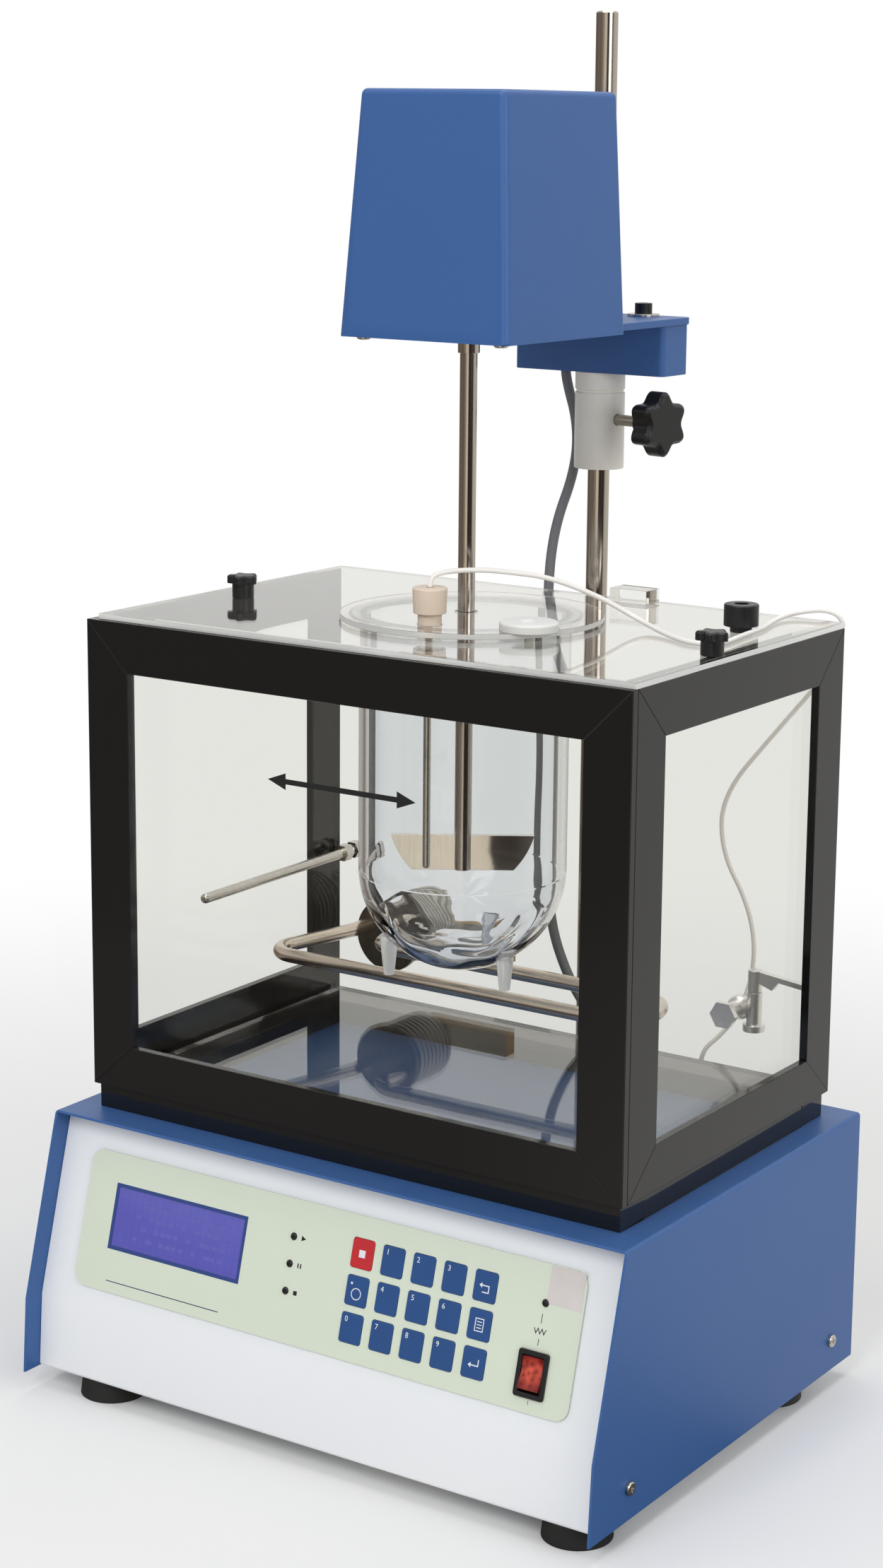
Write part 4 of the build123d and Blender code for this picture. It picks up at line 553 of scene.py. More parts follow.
# The white sheath glows faintly: painted light that keeps the cable pale behind the bath.
SHEATH_PAINTED_GLOW = 0.08
sheath_shader = white_sheath.node_tree.nodes["Principled BSDF"]
sheath_shader.inputs["Emission Color"].default_value = colour("FFFFFF")
sheath_shader.inputs["Emission Strength"].default_value = SHEATH_PAINTED_GLOW
navy_ink = moulded("navy ink", "24386E", "20335F", 0.5)
cast_cap = moulded("blasted light-metal cap", "D6D2CB", "C4C0B9", 0.45, dust_amount=0.05)
blue_ink = moulded("blue ink", "2A4688", "26407E", 0.5)
black_ink = moulded("black ink", "16181A", "1C1E20", 0.5)
white_ink = moulded("white ink", "E8EBEF", "DDE1E8", 0.5)
foil = moulded("plain foil patch", "E4DEDA", "C4BCBC", 0.35, grain=900.0)

# %% [markdown]
# Metal
#
# The rods are drawn and polished, so they mirror the room with very fine lines along their
# length. The motor and the rod's bracket are turned aluminium: the lines go round, and they
# are much duller. The same Drawn Metal group gives both, stretched in other directions, and
# it gives bent tube and plated pieces too, stretched evenly. The blade is polished until it
# mirrors like a looking glass. The collar is anodised, which leaves a pale skin that mirrors
# nothing, so it takes the moulding recipe with a coarse grain.


# %% Metals
def metal(name, light, dark, roughness, uneven, stretch, depth=0.000004):
    """Metal with fine lines, stretched where its numbers are small."""
    made, tree, shader = new_material(name)
    out = place_group(tree, drawn, {
        "Stretch": stretch, "Light": light, "Dark": dark, "Roughness": roughness, "Uneven": uneven,
    })
    shader.inputs["Metallic"].default_value = 1
    tree.links.new(out["Colour"], shader.inputs["Base Color"])
    tree.links.new(out["Roughness"], shader.inputs["Roughness"])
    bump(tree, shader, out["Height"], depth)
    return made


polished_rod = metal("polished rod", "C9C1B8", "B4ABA1", 0.10, 0.08, (900, 900, 12))
polished_tube = metal("polished heating tube", "E8DED2", "C6BAAA", 0.16, 0.12, (60, 60, 60))
mirror_steel = metal("mirror-polished blade", "F4F0EA", "E6E0D8", 0.02, 0.03, (900, 900, 12),
                     depth=0.000001)
bright_plate = metal("bright plated fitting", "F2F2F0", "DCDAD6", 0.24, 0.14, (240, 240, 240))
dull_fitting = metal("dull nickel fitting", "7C7469", "565048", 0.3, 0.2, (240, 240, 240))
turned_aluminium = metal("turned aluminium", "D2D2D0", "BDBDBB", 0.34, 0.12, (40, 40, 1400))
clear_anodised = moulded("clear anodised collar", "FBF7EF", "E2DDD3", 0.36, grain=420.0,
                         depth=0.0002)
plated = metal("nickel plate", "D6D2CC", "BEB9B1", 0.18, 0.14, (240, 240, 240))
bare_stud = metal("bare steel stud", "C2BEB4", "A8A49A", 0.32, 0.12, (900, 900, 900))
gear_brass = metal("gear brass", "C8A868", "B4935A", 0.25, 0.12, (300, 300, 300))
core_iron = metal("core iron", "6B625A", "514A44", 0.5, 0.2, (40, 1500, 40))

# %% [markdown]
# Lights on the panel
#
# The display is a backlit liquid crystal: a violet-blue field with rows of character cells
# that are barely lighter than the gaps between them. A brick pattern makes the cells. The
# rocker is clear red plastic over a neon lamp, so it glows most at its middle; small facet
# spots in that glow are painted glints, and the glow is painted into its colour as well.

# %% Display and rocker
CELL_WIDE = 0.0048
CELL_TALL = 0.0078
CELL_GAP = 0.0005
display_field, tree, shader = new_material("display field")
where = add(tree, "TexCoord").outputs["Object"]
cells = add(tree, "TexBrick", {
    "Vector": add(tree, "Mapping", {"Vector": where, "Rotation": (math.pi / 2, 0, 0)}).outputs[0],
    "Color1": "5D5CB0", "Color2": "5A59AD", "Mortar": "5756AA",
    "Scale": 1.0, "Mortar Size": CELL_GAP, "Brick Width": CELL_WIDE, "Row Height": CELL_TALL,
}, offset=0.0)
clouds = add(tree, "TexNoise", {"Vector": where, "Scale": 45.0, "Detail": 2.0})
field = mix_colour(tree, clouds.outputs[0], cells.outputs[0], "5352A4")
tree.links.new(field, shader.inputs["Base Color"])
tree.links.new(field, shader.inputs["Emission Color"])
shader.inputs["Emission Strength"].default_value = 0.18
shader.inputs["Roughness"].default_value = 0.12

lit_red, tree, shader = new_material("lit red rocker")
ROCKER_GLOW_REACH = 0.0105
rocker_middle = sum(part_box("rocker"), Vector()) / 2
where = add(tree, "NewGeometry").outputs["Position"]
off = add(tree, "VectorMath", {0: where, 1: rocker_middle}, operation="DISTANCE").outputs["Value"]
centre = add(tree, "MapRange", {"Value": off, "From Min": ROCKER_GLOW_REACH, "From Max": 0.002})
# The facet spots are painted glints. With the lamp's glow they also lighten the base colour, as
# painted light.
painted_glints = add(tree, "TexVoronoi", {"Vector": where, "Scale": 330.0}, feature="SMOOTH_F1")
glow_and_painted_glints = math_node(tree, "MULTIPLY", centre.outputs[0], painted_glints.outputs["Distance"])
red = mix_colour(tree, glow_and_painted_glints, "5A070B", "FF6A50")
tree.links.new(red, shader.inputs["Base Color"])
tree.links.new(red, shader.inputs["Emission Color"])
shader.inputs["Emission Strength"].default_value = 0.25
shader.inputs["Roughness"].default_value = 0.1
pale_cells = moulded("pale display cells", "6A68BC", "6260B2", 0.2)
lamp_black = moulded("dark lamp lens", "141416", "1A1A1C", 0.15)
print("materials", len(bpy.data.materials))

# %% [markdown]
# Soft edges
#
# Nothing made of sheet or bar has a perfectly sharp edge. CAD faces arrive as separate
# triangles, so a Weld joins them, a planar Decimate removes the seams inside flat faces, a
# Bevel rounds every edge that turns enough, and Weighted Normals keep the flats flat. An
# edge of 0 joins and smooths without a bevel. An edge of None leaves the faces as they come,
# each one flat, as on sheet with sharp sawn edges.


# %% Dressing a CAD node
TURN_LIMIT = 35
FLAT_LIMIT = 0.4
WELD_REACH = 0.000004


def dress(node, material, edge):
    """Give a CAD node its material and a rounded edge, in millimetres."""
    piece = nodes[node]
    piece.data.materials.clear()
    piece.data.materials.append(material)
    custom = piece.data.attributes.get("custom_normal")
    if custom:
        piece.data.attributes.remove(custom)
    for polygon in piece.data.polygons:
        polygon.use_smooth = edge is not None
    if edge is None:
        return
    weld = piece.modifiers.new("join faces", "WELD")
    weld.merge_threshold = WELD_REACH
    if edge:
        flat = piece.modifiers.new("clean flats", "DECIMATE")
        flat.decimate_type = "DISSOLVE"
        flat.angle_limit = math.radians(FLAT_LIMIT)
        rounding = piece.modifiers.new("soft edges", "BEVEL")
        rounding.width = edge * MM
        rounding.segments = 2
        rounding.limit_method = "ANGLE"
        rounding.angle_limit = math.radians(TURN_LIMIT)
        rounding.use_clamp_overlap = False
    shading = piece.modifiers.new("even shading", "WEIGHTED_NORMAL")
    shading.keep_sharp = True


def second_finish(node, material, test):
    """Give the faces of a node whose middle passes a test another material."""
    data = nodes[node].data
    data.materials.append(material)
    for polygon in data.polygons:
        if test(polygon.center):
            polygon.material_index = len(data.materials) - 1


# %% Finishes of the CAD nodes
# Each row is a material, how far its edges are rounded in millimetres, and its nodes.
for material, edge, names in [
    (white_paint, 0.25, ["chassis"]),
    (blue_paint, 0.35, ["base_cover"]),
    (blue_paint, 0, ["head_housing"]),
    (blue_paint, 0.4, ["arm_beam", "arm_plate"]),
    (rubber, 0.5, ["rubber_feet"]),
    (overlay_film, 0.1, ["membrane_overlay"]),
    (lamp_black, 0, ["panel_lenses"]),
    (green_board, 0, ["circuit_boards"]),
    (core_iron, 0.3, ["transformer"]),
    (black_plastic, 0.3, ["rocker_bezel", "rear_connectors", "filler_cap"]),
    (lit_red, 0.3, ["rocker"]),
    (plated, 0.15, ["cover_screws"]),
    (black_strip, 0.4, ["tank_plinth"]),
    (acrylic, None, ["tank_floor"]),
    (pane_acrylic, None, ["tank_panes"]),
    (acrylic, 0.3, ["tank_lid"]),
    (vessel_glass, 0.5, ["vessel"]),
    (acrylic, 0.4, ["vessel_cover"]),
    (cream_plastic, 0.3, ["probe_stopper"]),
    (plated, 0, ["temperature_probe", "spindle_bearings"]),
    (white_plastic, 0.3, ["dosing_plug"]),
    (black_plastic, 0.4, ["left_lid_knob", "right_lid_knob"]),
    (polished_tube, 0, ["heater_tube"]),
    (dull_fitting, 0.3, ["heater_fitting"]),
    (plated, 0.2, ["bath_sensor", "arm_screws"]),
    (bright_plate, 0.3, ["drain_cock", "drain_lever"]),
    (polished_rod, 0.1, ["support_rod"]),
    (turned_aluminium, 0.4, ["rod_bracket"]),
    (clear_anodised, 0.4, ["arm_collar"]),
    (turned_aluminium, 0.3, ["gear_motor"]),
    (gear_brass, 0, ["spindle_gear", "pinion"]),
    (polished_rod, 0.2, ["shaft_coupling", "paddle_shaft"]),
    (black_plastic, 0.6, ["clamp_knob"]),
]:
    for name in names:
        dress(name, material, edge)
key_names = [name for name in nodes if name.startswith("key_")]
for name in key_names:
    dress(name, key_red if name == "key_stop" else key_blue, 0.1)

# %% [markdown]
# Nodes with two finishes
#
# Some nodes hold two materials: a polished blade on a drawn shaft, a cast cap on a nickel
# flange, a sawn edge round a clear sheet. A node can't be cut apart here, because its solid
# comes from the CAD. So a test of where a face's middle lies, in metres, says which it gets.

# %% Nodes with two finishes
CAP_SCREW_BOTTOM = 0.6059
STUD_END = 0.033
BLADE_TALL = 0.024
DISPLAY_RIGHT = -0.04
CAP_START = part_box("tank_panes")[1].y - 0.001
TERMINAL_START = 0.1502
rod_middle = sum(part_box("support_rod"), Vector()) / 2
shaft_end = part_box("paddle_shaft")[0].z
second_finish("paddle_shaft", mirror_steel, lambda at: at.z < shaft_end + BLADE_TALL)
second_finish("panel_lenses", display_field, lambda at: at.x < DISPLAY_RIGHT)
second_finish("heater_fitting", cast_cap, lambda at: at.y > CAP_START)
second_finish("heater_fitting", tan_board, lambda at: at.y > TERMINAL_START)
second_finish("arm_screws", black_plastic, lambda at: at.z > CAP_SCREW_BOTTOM)
second_finish("clamp_knob", bare_stud, lambda at: (at - rod_middle).xy.length < STUD_END)

# %% Sawn edges and pressed feet
EDGE_DEPTH = 0.0002
LID_SHEET_TOP = 0.4449
VESSEL_RADIUS = 0.05825
VESSEL_FOOT_BELOW = 0.004
lid_low, lid_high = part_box("tank_lid")
cover_low, cover_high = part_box("vessel_cover")
cover_middle = (cover_low + cover_high) / 2
cover_reach = (cover_high.x - cover_low.x) / 2
bowl_middle = sum(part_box("vessel"), Vector()) / 2
bowl_middle.z = VESSEL_BOTTOM + VESSEL_FOOT_BELOW + VESSEL_RADIUS


def on_lid_edge(at):
    """Whether a face's middle lies on the lid's sawn outline."""
    across = min(at.x - lid_low.x, lid_high.x - at.x)
    return min(across, at.y - lid_low.y, lid_high.y - at.y) < EDGE_DEPTH


def on_cover_edge(at):
    """Whether a face's middle lies on the round cover's rim."""
    return (at - cover_middle).xy.length > cover_reach - 3 * EDGE_DEPTH


def on_vessel_foot(at):
    """Whether a face's middle lies outside the vessel's round bottom, on one of its feet."""
    return at.z < bowl_middle.z and (at - bowl_middle).length > VESSEL_RADIUS + 3 * EDGE_DEPTH


second_finish("vessel", pressed_glass, on_vessel_foot)
second_finish("tank_lid", sawn_acrylic, on_lid_edge)
second_finish("tank_lid", pane_acrylic, lambda at: at.z > LID_SHEET_TOP)
second_finish("vessel_cover", sawn_acrylic, on_cover_edge)
print("dressed", len(nodes), "nodes")

# %% [markdown]
# Prints on the front panel
#
# The overlay is printed film. Prints have no thickness to speak of, so each is a flat piece of
# mesh a few hundredths of a millimetre above what it is printed on. The panel leans back, so
# a small helper turns panel measures, across and down the slope, into places. The panel goes
# back 0.27342 mm for each millimetre that it goes up. An image on the overlay would do too,
# but it blurs close up, and flat shapes stay sharp at any distance.

# %% Panel measures
OVERLAY_THICK = 1.5
PANEL_LEAN = math.atan(0.27342)
panel_up = Vector((0, math.sin(PANEL_LEAN), math.cos(PANEL_LEAN)))
panel_out = Vector((0, -math.cos(PANEL_LEAN), math.sin(PANEL_LEAN)))
PANEL_TOP = Vector((0, -0.1164, 0.160))
PRINT_LIFT = 0.03
LENS_FACE = 1.2


def on_panel(across, down, lift):
    """A place on the panel from millimetres across, down the slope and outward."""
    return PANEL_TOP + Vector((across, 0, 0)) * MM - panel_up * down * MM + panel_out * lift * MM


def flat_print(name, outlines, place, outward, material, body):
    """Flat printed shapes that face outward, from outlines and the way to place a point."""
    mesh = bmesh.new()
    for outline in outlines:
        mesh.faces.new([mesh.verts.new(place(x, y)) for x, y in outline])
    bmesh.ops.recalc_face_normals(mesh, faces=mesh.faces)
    for face in mesh.faces:
        if face.normal.dot(outward) < 0:
            face.normal_flip()
    printed(name, mesh_data(name, mesh), material, body)


def panel_shape(name, outlines, material, body="base",
                lift=OVERLAY_THICK + PRINT_LIFT):
    """Flat printed shapes on the panel, each an outline of (across, down) points."""
    flat_print(name, outlines, lambda x, d: on_panel(x, d, lift), panel_out, material, body)


def printed(name, data, material, body):
    """A print from mesh data, riding on a body."""
    piece = new_object(name, data)
    data.materials.clear()
    data.materials.append(material)
    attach(piece, body)


def rectangle(left, top, right, bottom):
    """The four corners of a rectangle."""
    return [(left, top), (right, top), (right, bottom), (left, bottom)]


def mitred(outer, inner):
    """Four bars between two rectangles, mitred at the corners."""
    return [[outer[i], outer[(i + 1) % 4], inner[(i + 1) % 4], inner[i]] for i in range(4)]


def ring_outline(x, d, width, height, line):
    """Four mitred bars round a rectangle, whose inner edge is given."""
    ix, iy = width / 2, height / 2
    ox, oy = ix + line, iy + line
    inner = rectangle(x - ix, d - iy, x + ix, d + iy)
    return mitred(rectangle(x - ox, d - oy, x + ox, d + oy), inner)


def stroke(points, width):
    """A broken line of constant width as a chain of quads with shared, mitred ends."""
    sides = []
    for i, point in enumerate(points):
        here = Vector(point)
        before = (here - Vector(points[i - 1])).normalized() if i else None
        after = (Vector(points[i + 1]) - here).normalized() if i < len(points) - 1 else None
        straight = before or after
        inner = before is not None and after is not None
        along = (before + after).normalized() if inner else straight
        normal = Vector((-along.y, along.x))
        reach = width / 2 / max(abs(normal.dot(Vector((-straight.y, straight.x)))), 0.4)
        sides.append((here + normal * reach, here - normal * reach))
    return [[a[0][:], b[0][:], b[1][:], a[1][:]] for a, b in zip(sides, sides[1:])]


# %% Border of the display, the plain rule under it, and the foil patch
WINDOW_X = -98
WINDOW_DOWN = 54.9
WINDOW_WIDE = 90
WINDOW_TALL = 34.2
BORDER_OVERLAP = 0.5
BORDER_LINE = 2.0
border = ring_outline(
    WINDOW_X, WINDOW_DOWN, WINDOW_WIDE - 2 * BORDER_OVERLAP, WINDOW_TALL - 2 * BORDER_OVERLAP,
    BORDER_LINE,
)
panel_shape("display_border", border, blue_ink)
rule = stroke([(-142, 91.2), (-62, 91.2)], 0.5)
panel_shape("panel_rule", rule, navy_ink)
panel_shape("foil_patch", [rectangle(141.8, 20.6, 162.6, 40.4)], foil,
            lift=OVERLAY_THICK + 2 * PRINT_LIFT)

# %% Faint rows on the display
# The display shows rows of pale characters, too small to read from a step away. Short pale
# bars of uneven length, with a gap here and there, stand for them.
ROW_DOWNS = (46.0, 52.2, 58.4, 64.6)
ROW_BARS = 14
BAR_PITCH = 4.6
BAR_SHORTEST = 2.8
BAR_STEP = 0.6
BAR_HALF_TALL = 1.1
ROWS_REACH = 30
row_start = WINDOW_X - ROWS_REACH
row_rects = []
for row, down in enumerate(ROW_DOWNS):
    for bar in range(ROW_BARS):
        left = row_start + bar * BAR_PITCH
        wide = BAR_SHORTEST + (bar * 7 + row * 5) % 3 * BAR_STEP
        if (bar * 3 + row * 4) % 7 > 1:
            row_rects.append(
                rectangle(left, down - BAR_HALF_TALL, left + wide, down + BAR_HALF_TALL)
            )
panel_shape("display_rows", row_rects, pale_cells, lift=LENS_FACE + PRINT_LIFT)
print("bars on the display", len(row_rects))

# %% Small plain marks beside the lamps
# Each of three lamps has a plain sign of its state: a triangle for running, two bars for
# waiting and a square for stopped. A line and a zigzag tie the heater's lamp to its switch.
LAMP_DOWN = 40.3
LAMP_PITCH = 14.8
MARK_X = -14.5
SWITCH_X = 140.5
wait_down = LAMP_DOWN + LAMP_PITCH
stop_down = LAMP_DOWN + 2 * LAMP_PITCH
triangle = [(MARK_X, LAMP_DOWN - 1.5), (MARK_X + 3, LAMP_DOWN), (MARK_X, LAMP_DOWN + 1.5)]
bars = [rectangle(x, wait_down - 1.3, x + 0.8, wait_down + 1.3) for x in (MARK_X, MARK_X + 1.7)]
square = rectangle(MARK_X, stop_down - 1.2, MARK_X + 2.4, stop_down + 1.2)
zigzag = [(SWITCH_X - 3.6 + 1.2 * i, 55 + (1.3 if i % 2 else -1.3)) for i in range(7)]
heater_sign = stroke([(SWITCH_X, 46), (SWITCH_X, 51)], 0.4) + stroke(zigzag, 0.5)
heater_sign += stroke([(SWITCH_X, 59), (SWITCH_X, 62.5)], 0.4)
for name, outlines in (
    ("run_mark", [triangle]), ("wait_mark", bars), ("stop_mark", [square]),
    ("heater_mark", heater_sign),
):
    panel_shape(name, outlines, black_ink)
print("panel prints made")

# %% [markdown]
# Key legends
#
# Ten keys carry a digit in their top left corner, and five carry a sign: a square to stop, an
# arrow back, a page, a point over a ring and an arrow to enter. A digit is a text curve turned
# to mesh. A sign is drawn in strokes of constant width. All ride on their own key, so they
# sink with it.

# %% Legends
KEY_LIFT = 2.0 + PRINT_LIFT
DIGIT_SIZE = 4.2


def key_middle(name):
    """A key's middle as panel measures: across, and down the slope."""
    low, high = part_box(name)
    offset = (low + high) / 2 - PANEL_TOP
    return offset.x / MM, -offset.dot(panel_up) / MM


def write_digit(name, text, across, down, size, material, body, lift):
    """A printed digit or mark whose middle is at a place on the panel."""
    curve = bpy.data.curves.new(name, "FONT")
    curve.body = text
    curve.size = size * MM
    curve.align_x = "CENTER"
    curve.align_y = "CENTER"
    curve.resolution_u = 3
    holder = bpy.data.objects.new(name + "_curve", curve)
    data = bpy.data.meshes.new_from_object(holder)
    bpy.data.objects.remove(holder)
    turned = Matrix((Vector((1, 0, 0)), panel_up, panel_out)).transposed().to_4x4()
    data.transform(Matrix.Translation(on_panel(across, down, lift)) @ turned)
    printed(name, data, material, body)


for name in key_names:
    x, d = key_middle(name)
    sign = name.removeprefix("key_")
    if sign.isdigit():
        write_digit("digit_" + sign, sign, x - 3.6, d - 4.6, DIGIT_SIZE, white_ink, name,
                    KEY_LIFT)

signs = {}
x, d = key_middle("key_stop")
signs["key_stop"] = [rectangle(x - 2, d - 2, x + 2, d + 2)]
x, d = key_middle("key_dot")
signs["key_dot"] = [rectangle(x - 4.2, d - 4.4, x - 3, d - 3.2)]
steps = [t * math.pi / 8 for t in range(17)]
circle = [(x + 3 * math.cos(step), d + 1.5 + 3 * math.sin(step)) for step in steps]
signs["key_dot"] += stroke(circle, 0.5)
x, d = key_middle("key_return")
hook = [(x - 1.5, d + 3), (x + 2.4, d + 3), (x + 2.4, d - 0.5), (x - 2, d - 0.5)]
signs["key_return"] = stroke(hook, 0.6)
signs["key_return"].append([(x - 3.6, d - 0.5), (x - 1.8, d - 1.9), (x - 1.8, d + 0.9)])
x, d = key_middle("key_page")
signs["key_page"] = ring_outline(x, d, 4.4, 6, 0.5)
for line in (-1.6, 0, 1.6):
    signs["key_page"] += stroke([(x - 1.5, d + line), (x + 1.5, d + line)], 0.45)
x, d = key_middle("key_enter")
signs["key_enter"] = stroke([(x + 3, d - 2.4), (x + 3, d + 1), (x - 1.4, d + 1)], 0.6)
signs["key_enter"].append([(x - 3.2, d + 1), (x - 1.4, d - 0.4), (x - 1.4, d + 2.4)])
for name, outlines in signs.items():
    panel_shape("sign_" + name.removeprefix("key_"), outlines, white_ink, name,
                lift=KEY_LIFT)
write_digit("switch_on_mark", "I", 139.9, 92.2, 3.2, black_ink, "base",
            OVERLAY_THICK + PRINT_LIFT)
print("legends on", len(key_names), "keys")

# %% [markdown]
# The level mark
#
# A printed double arrow on the front pane shows how far the bath is to be filled. It is made
# as the panel's prints are, a line with two triangles, and lies just in front of the sheet.

# %% Level mark on the front pane
PANE_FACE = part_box("tank_panes")[0].y
PANE_PRINT_LIFT = 0.00005
LEVEL_Z = 366.3
LEVEL_LEFT = -53.7
LEVEL_RIGHT = 42.7
ARROW_HEAD_LONG = 12
ARROW_HEAD_HALF = 4.6
ARROW_LINE = 3.0
line_left = LEVEL_LEFT + ARROW_HEAD_LONG
line_right = LEVEL_RIGHT - ARROW_HEAD_LONG
arrow = stroke([(line_left, LEVEL_Z), (line_right, LEVEL_Z)], ARROW_LINE)
for tip, end in ((LEVEL_LEFT, line_left), (LEVEL_RIGHT, line_right)):
    arrow.append([
        (tip, LEVEL_Z), (end, LEVEL_Z - ARROW_HEAD_HALF), (end, LEVEL_Z + ARROW_HEAD_HALF)
    ])
flat_print(
    "level_mark", arrow, lambda x, z: (x * MM, PANE_FACE - PANE_PRINT_LIFT, z * MM),
    Vector((0, -1, 0)), black_ink, "base",
)

# %% [markdown]
# The bath's black strips
#
# Twelve strips of black sheet hide the glued edges of the bath: four round the front and four
# round each side, mitred where they meet. Their edges are eased with a scraper, which gives
# each joint the fine light line that shows in the photo. They are made here one by one, so
# that each keeps its own eased edges along the mitres.

# %% Strips
STRIP_SIDE = 28.2
STRIP_TOP = 28.1
STRIP_BOTTOM = 25.2
STRIP_THICK = 4.9
STRIP_AND_GAP = 5
STRIP_EASE = 0.35
frame_low, frame_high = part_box("tank_frame")
frame_low, frame_high = frame_low / MM, frame_high / MM
strip_tall = frame_high.z - frame_low.z


def strip_outlines(length):
    """The bottom, right, top and left strips of one face, as (along, up) corners."""
    out_x, in_x = length / 2, length / 2 - STRIP_SIDE
    inner = rectangle(-in_x, STRIP_BOTTOM, in_x, strip_tall - STRIP_TOP)
    return mitred(rectangle(-out_x, 0, out_x, strip_tall), inner)


def strip_face(name, middle, along, outward, length):
    """The four strips of one face of the bath."""
    for number, outline in enumerate(strip_outlines(length)):
        mesh = bmesh.new()
        layers = []
        for depth in (0, STRIP_THICK):
            layers.append([
                mesh.verts.new((middle + along * x + Vector((0, 0, z)) + outward * depth) * MM)
                for x, z in outline
            ])
        mesh.faces.new(layers[0])
        mesh.faces.new(layers[1])
        for i in range(4):
            j = (i + 1) % 4
            mesh.faces.new([layers[0][i], layers[0][j], layers[1][j], layers[1][i]])
        piece = from_bmesh(name + "_" + str(number), mesh, smooth=False)
        piece.data.materials.append(black_strip)
        rounding = piece.modifiers.new("eased edges", "BEVEL")
        rounding.width = STRIP_EASE * MM
        rounding.segments = 2
        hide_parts("tank_frame")
        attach(piece, "base")


side_middle = (frame_low.y + STRIP_AND_GAP + frame_high.y) / 2
side_length = frame_high.y - frame_low.y - STRIP_AND_GAP
strip_face("front_strip", Vector((0, frame_low.y + STRIP_THICK, frame_low.z)), Vector((1, 0, 0)),
           Vector((0, -1, 0)), frame_high.x - frame_low.x)
strip_face("left_strip", Vector((frame_low.x + STRIP_THICK, side_middle, frame_low.z)),
           Vector((0, -1, 0)), Vector((-1, 0, 0)), side_length)
strip_face("right_strip", Vector((frame_high.x - STRIP_THICK, side_middle, frame_low.z)),
           Vector((0, 1, 0)), Vector((1, 0, 0)), side_length)
print("strips made")

# %% Cable finishes
motor_lead.data.materials.append(grey_sheath)
probe_lead.data.materials.append(white_sheath)

# %% [markdown]
# The studio
#
# A plain pale table runs out to white, so the picture has no horizon. Three large soft
# lamps, one in front, one on the right and one above, keep shadows gentle. Polished metal
# needs something dark to mirror or it looks like white plastic, so a ray that has met gloss
# on its way sees a room. Its Glossy Depth tells that even after it has passed a pane, so the
# metal inside the bath mirrors the room too. A ray that has only passed clear sheet sees a
# backdrop a shade darker than white, and all others see white.

# %% Group: Mirrored Room
# What gloss sees at each bearing, in degrees: 0 is to the right, -90 to the front and 90 to
# the back. It is a brown room with one bright window, a dark doorway beside it, and the white
# sheet behind the object.
ROOM_BANDS = [
    (-180, "6E625A"), (-152, "8A7E75"), (-138, "7C736A"), (-112, "7C736A"), (-98, "A0968B"),
    (-88, "A99E92"), (-78, "F2EBE0"), (-54, "F6E8D2"), (6, "8A8078"),
    (20, "D9D6D0"), (60, "DFDDD8"), (138, "E6E5E1"), (156, "8A7E74"), (180, "6E625A"),
]
DOORWAY_MIDDLE = -24.9
DOORWAY_HALF = 31.0
mirrored_room, take, give = new_group("Mirrored Room", {"Way": "Vector"}, {"Colour": "Color"})
flat_way = add(mirrored_room, "SeparateXYZ", {0: take["Way"]}).outputs
bearing = math_node(mirrored_room, "ARCTAN2", flat_way["Y"], flat_way["X"])
turn = add(mirrored_room, "MapRange", {
    "Value": bearing, "From Min": -math.pi, "From Max": math.pi,
}).outputs[0]
bands = add(mirrored_room, "ValToRGB", {0: turn})
ramp = bands.color_ramp
for number, (degrees, shown) in enumerate(ROOM_BANDS):
    place = (degrees + 180) / 360
    inner = 0 < number < len(ROOM_BANDS) - 1
    stop = ramp.elements.new(place) if inner else ramp.elements[0 if number == 0 else -1]
    stop.position = place
    stop.color = colour(shown)
doorway = add(mirrored_room, "Math", {
    0: bearing, 1: math.radians(DOORWAY_MIDDLE), 2: math.radians(DOORWAY_HALF),
}, operation="COMPARE").outputs[0]
mirrored_room.links.new(
    mix_colour(mirrored_room, doorway, bands.outputs[0], "352E29"), give["Colour"]
)


# %% Kinds of ray
def ray_kinds(tree):
    """The Light Path outputs, whether a ray has met gloss, and whether it shows a surface."""
    path = add(tree, "LightPath").outputs
    direct = math_node(tree, "MAXIMUM", path["Is Camera Ray"], path["Is Transmission Ray"])
    mirrored = math_node(tree, "GREATER_THAN", path["Glossy Depth"], 0.5)
    return path, mirrored, math_node(tree, "MAXIMUM", direct, mirrored)


# %% Table
BEHIND_GLASS = "F3F4F2"
TABLE_RADIUS = 5.0
FADE_START = 0.38
FADE_END = 1.25
NEAR_TABLE_IN_GLOSS = 0.93
mesh = bmesh.new()
bmesh.ops.create_circle(mesh, cap_ends=True, segments=96, radius=TABLE_RADIUS)
table = new_object("table", mesh_data("table", mesh))
made, tree, shader = new_material("pale table")
shader.inputs["Base Color"].default_value = (0.86, 0.86, 0.86, 1)
shader.inputs["Roughness"].default_value = 0.9
shader.inputs["Specular IOR Level"].default_value = 0.2
place = add(tree, "NewGeometry").outputs["Position"]
away = add(tree, "VectorMath", {0: place}, operation="LENGTH").outputs["Value"]
fade = add(tree, "MapRange", {"Value": away, "From Min": FADE_START, "From Max": FADE_END},
           interpolation_type="SMOOTHSTEP").outputs[0]
path, mirrored, seen = ray_kinds(tree)
room = place_group(tree, mirrored_room, {"Way": place})["Colour"]
backdrop = mix_colour(tree, path["Is Camera Ray"], BEHIND_GLASS, (1, 1, 1, 1))
far = add(tree, "Emission", {"Color": mix_colour(tree, mirrored, backdrop, room)})
near_gloss = math_node(tree, "MULTIPLY", mirrored, NEAR_TABLE_IN_GLOSS)
far_share = math_node(tree, "MAXIMUM", math_node(tree, "MULTIPLY", fade, seen), near_gloss)
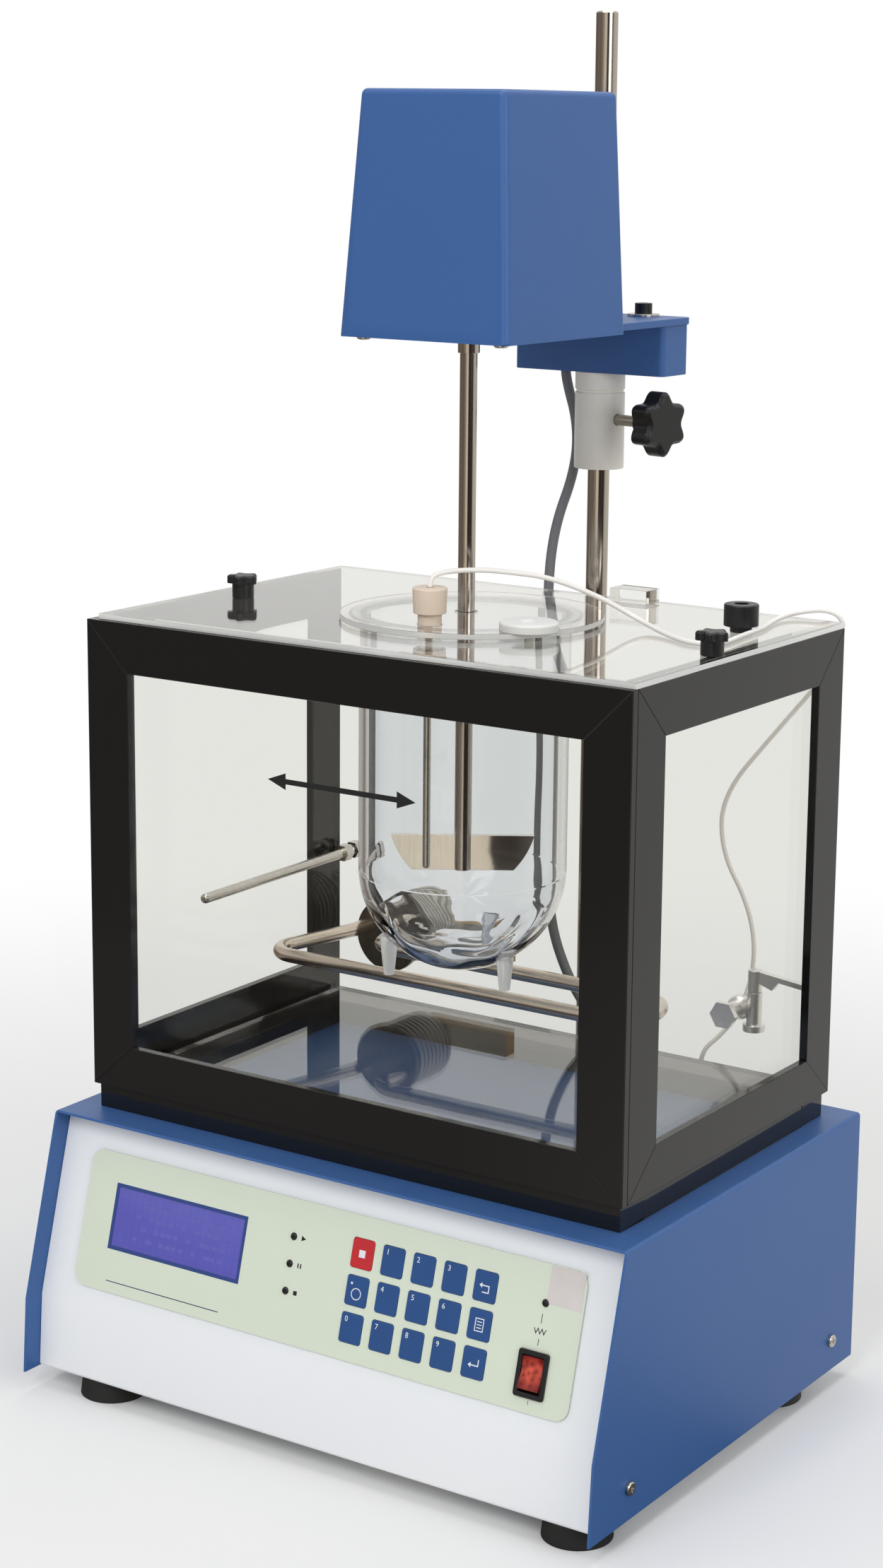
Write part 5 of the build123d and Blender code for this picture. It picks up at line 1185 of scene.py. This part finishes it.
mixed = add(tree, "MixShader", {0: far_share, 1: shader.outputs[0], 2: far.outputs[0]})
tree.links.new(mixed.outputs[0], tree.nodes["Material Output"].inputs["Surface"])
table.data.materials.append(made)

# %% Room
# Above the horizon the room fades to a paler ceiling, which the lid mirrors. PALE_FROM and
# PALE_FULL are sines of the angle above the horizon.
ROOM_LIGHT = 0.5
PALE_UPPER_ROOM = 0.5
PALE_FROM = 0.05
PALE_FULL = 0.15
world = bpy.data.worlds.new("studio")
world.use_nodes = True
bpy.context.scene.world = world
tree = world.node_tree
way = add(tree, "TexCoord").outputs["Generated"]
room = place_group(tree, mirrored_room, {"Way": way})["Colour"]
path, mirrored, seen = ray_kinds(tree)
behind_glass = mix_colour(tree, path["Is Transmission Ray"], (1, 1, 1, 1), BEHIND_GLASS)
climb = add(tree, "SeparateXYZ", {0: way}).outputs["Z"]
paleness = add(tree, "MapRange", {
    "Value": climb, "From Min": PALE_FROM, "From Max": PALE_FULL, "To Max": PALE_UPPER_ROOM,
}).outputs[0]
paler_up_high = mix_colour(tree, paleness, room, (1, 1, 1, 1))
shown = mix_colour(tree, mirrored, behind_glass, paler_up_high)
strength = add(tree, "MapRange", {"Value": seen, "To Min": ROOM_LIGHT})
background = tree.nodes["Background"]
tree.links.new(shown, background.inputs["Color"])
tree.links.new(strength.outputs[0], background.inputs["Strength"])

# %% Lamps
AIM = Vector((0, 0, 0.35))


def soft_lamp(name, place, size, power):
    """A square soft lamp at a place, aimed at the object's middle."""
    light = bpy.data.lights.new(name, "AREA")
    light.size = size
    light.energy = power
    lamp = new_object(name, light)
    lamp.location = place
    lamp.rotation_euler = (AIM - Vector(place)).to_track_quat("-Z", "Y").to_euler()


soft_lamp("front_lamp", (0.2, -2.3, 2.3), 1.3, 30)
soft_lamp("right_lamp", (2.2, -0.6, 1.2), 1.2, 12)
soft_lamp("top_lamp", (0.0, 0.3, 2.4), 1.6, 18)
bpy.context.scene.view_settings.view_transform = "Standard"
print("studio ready")
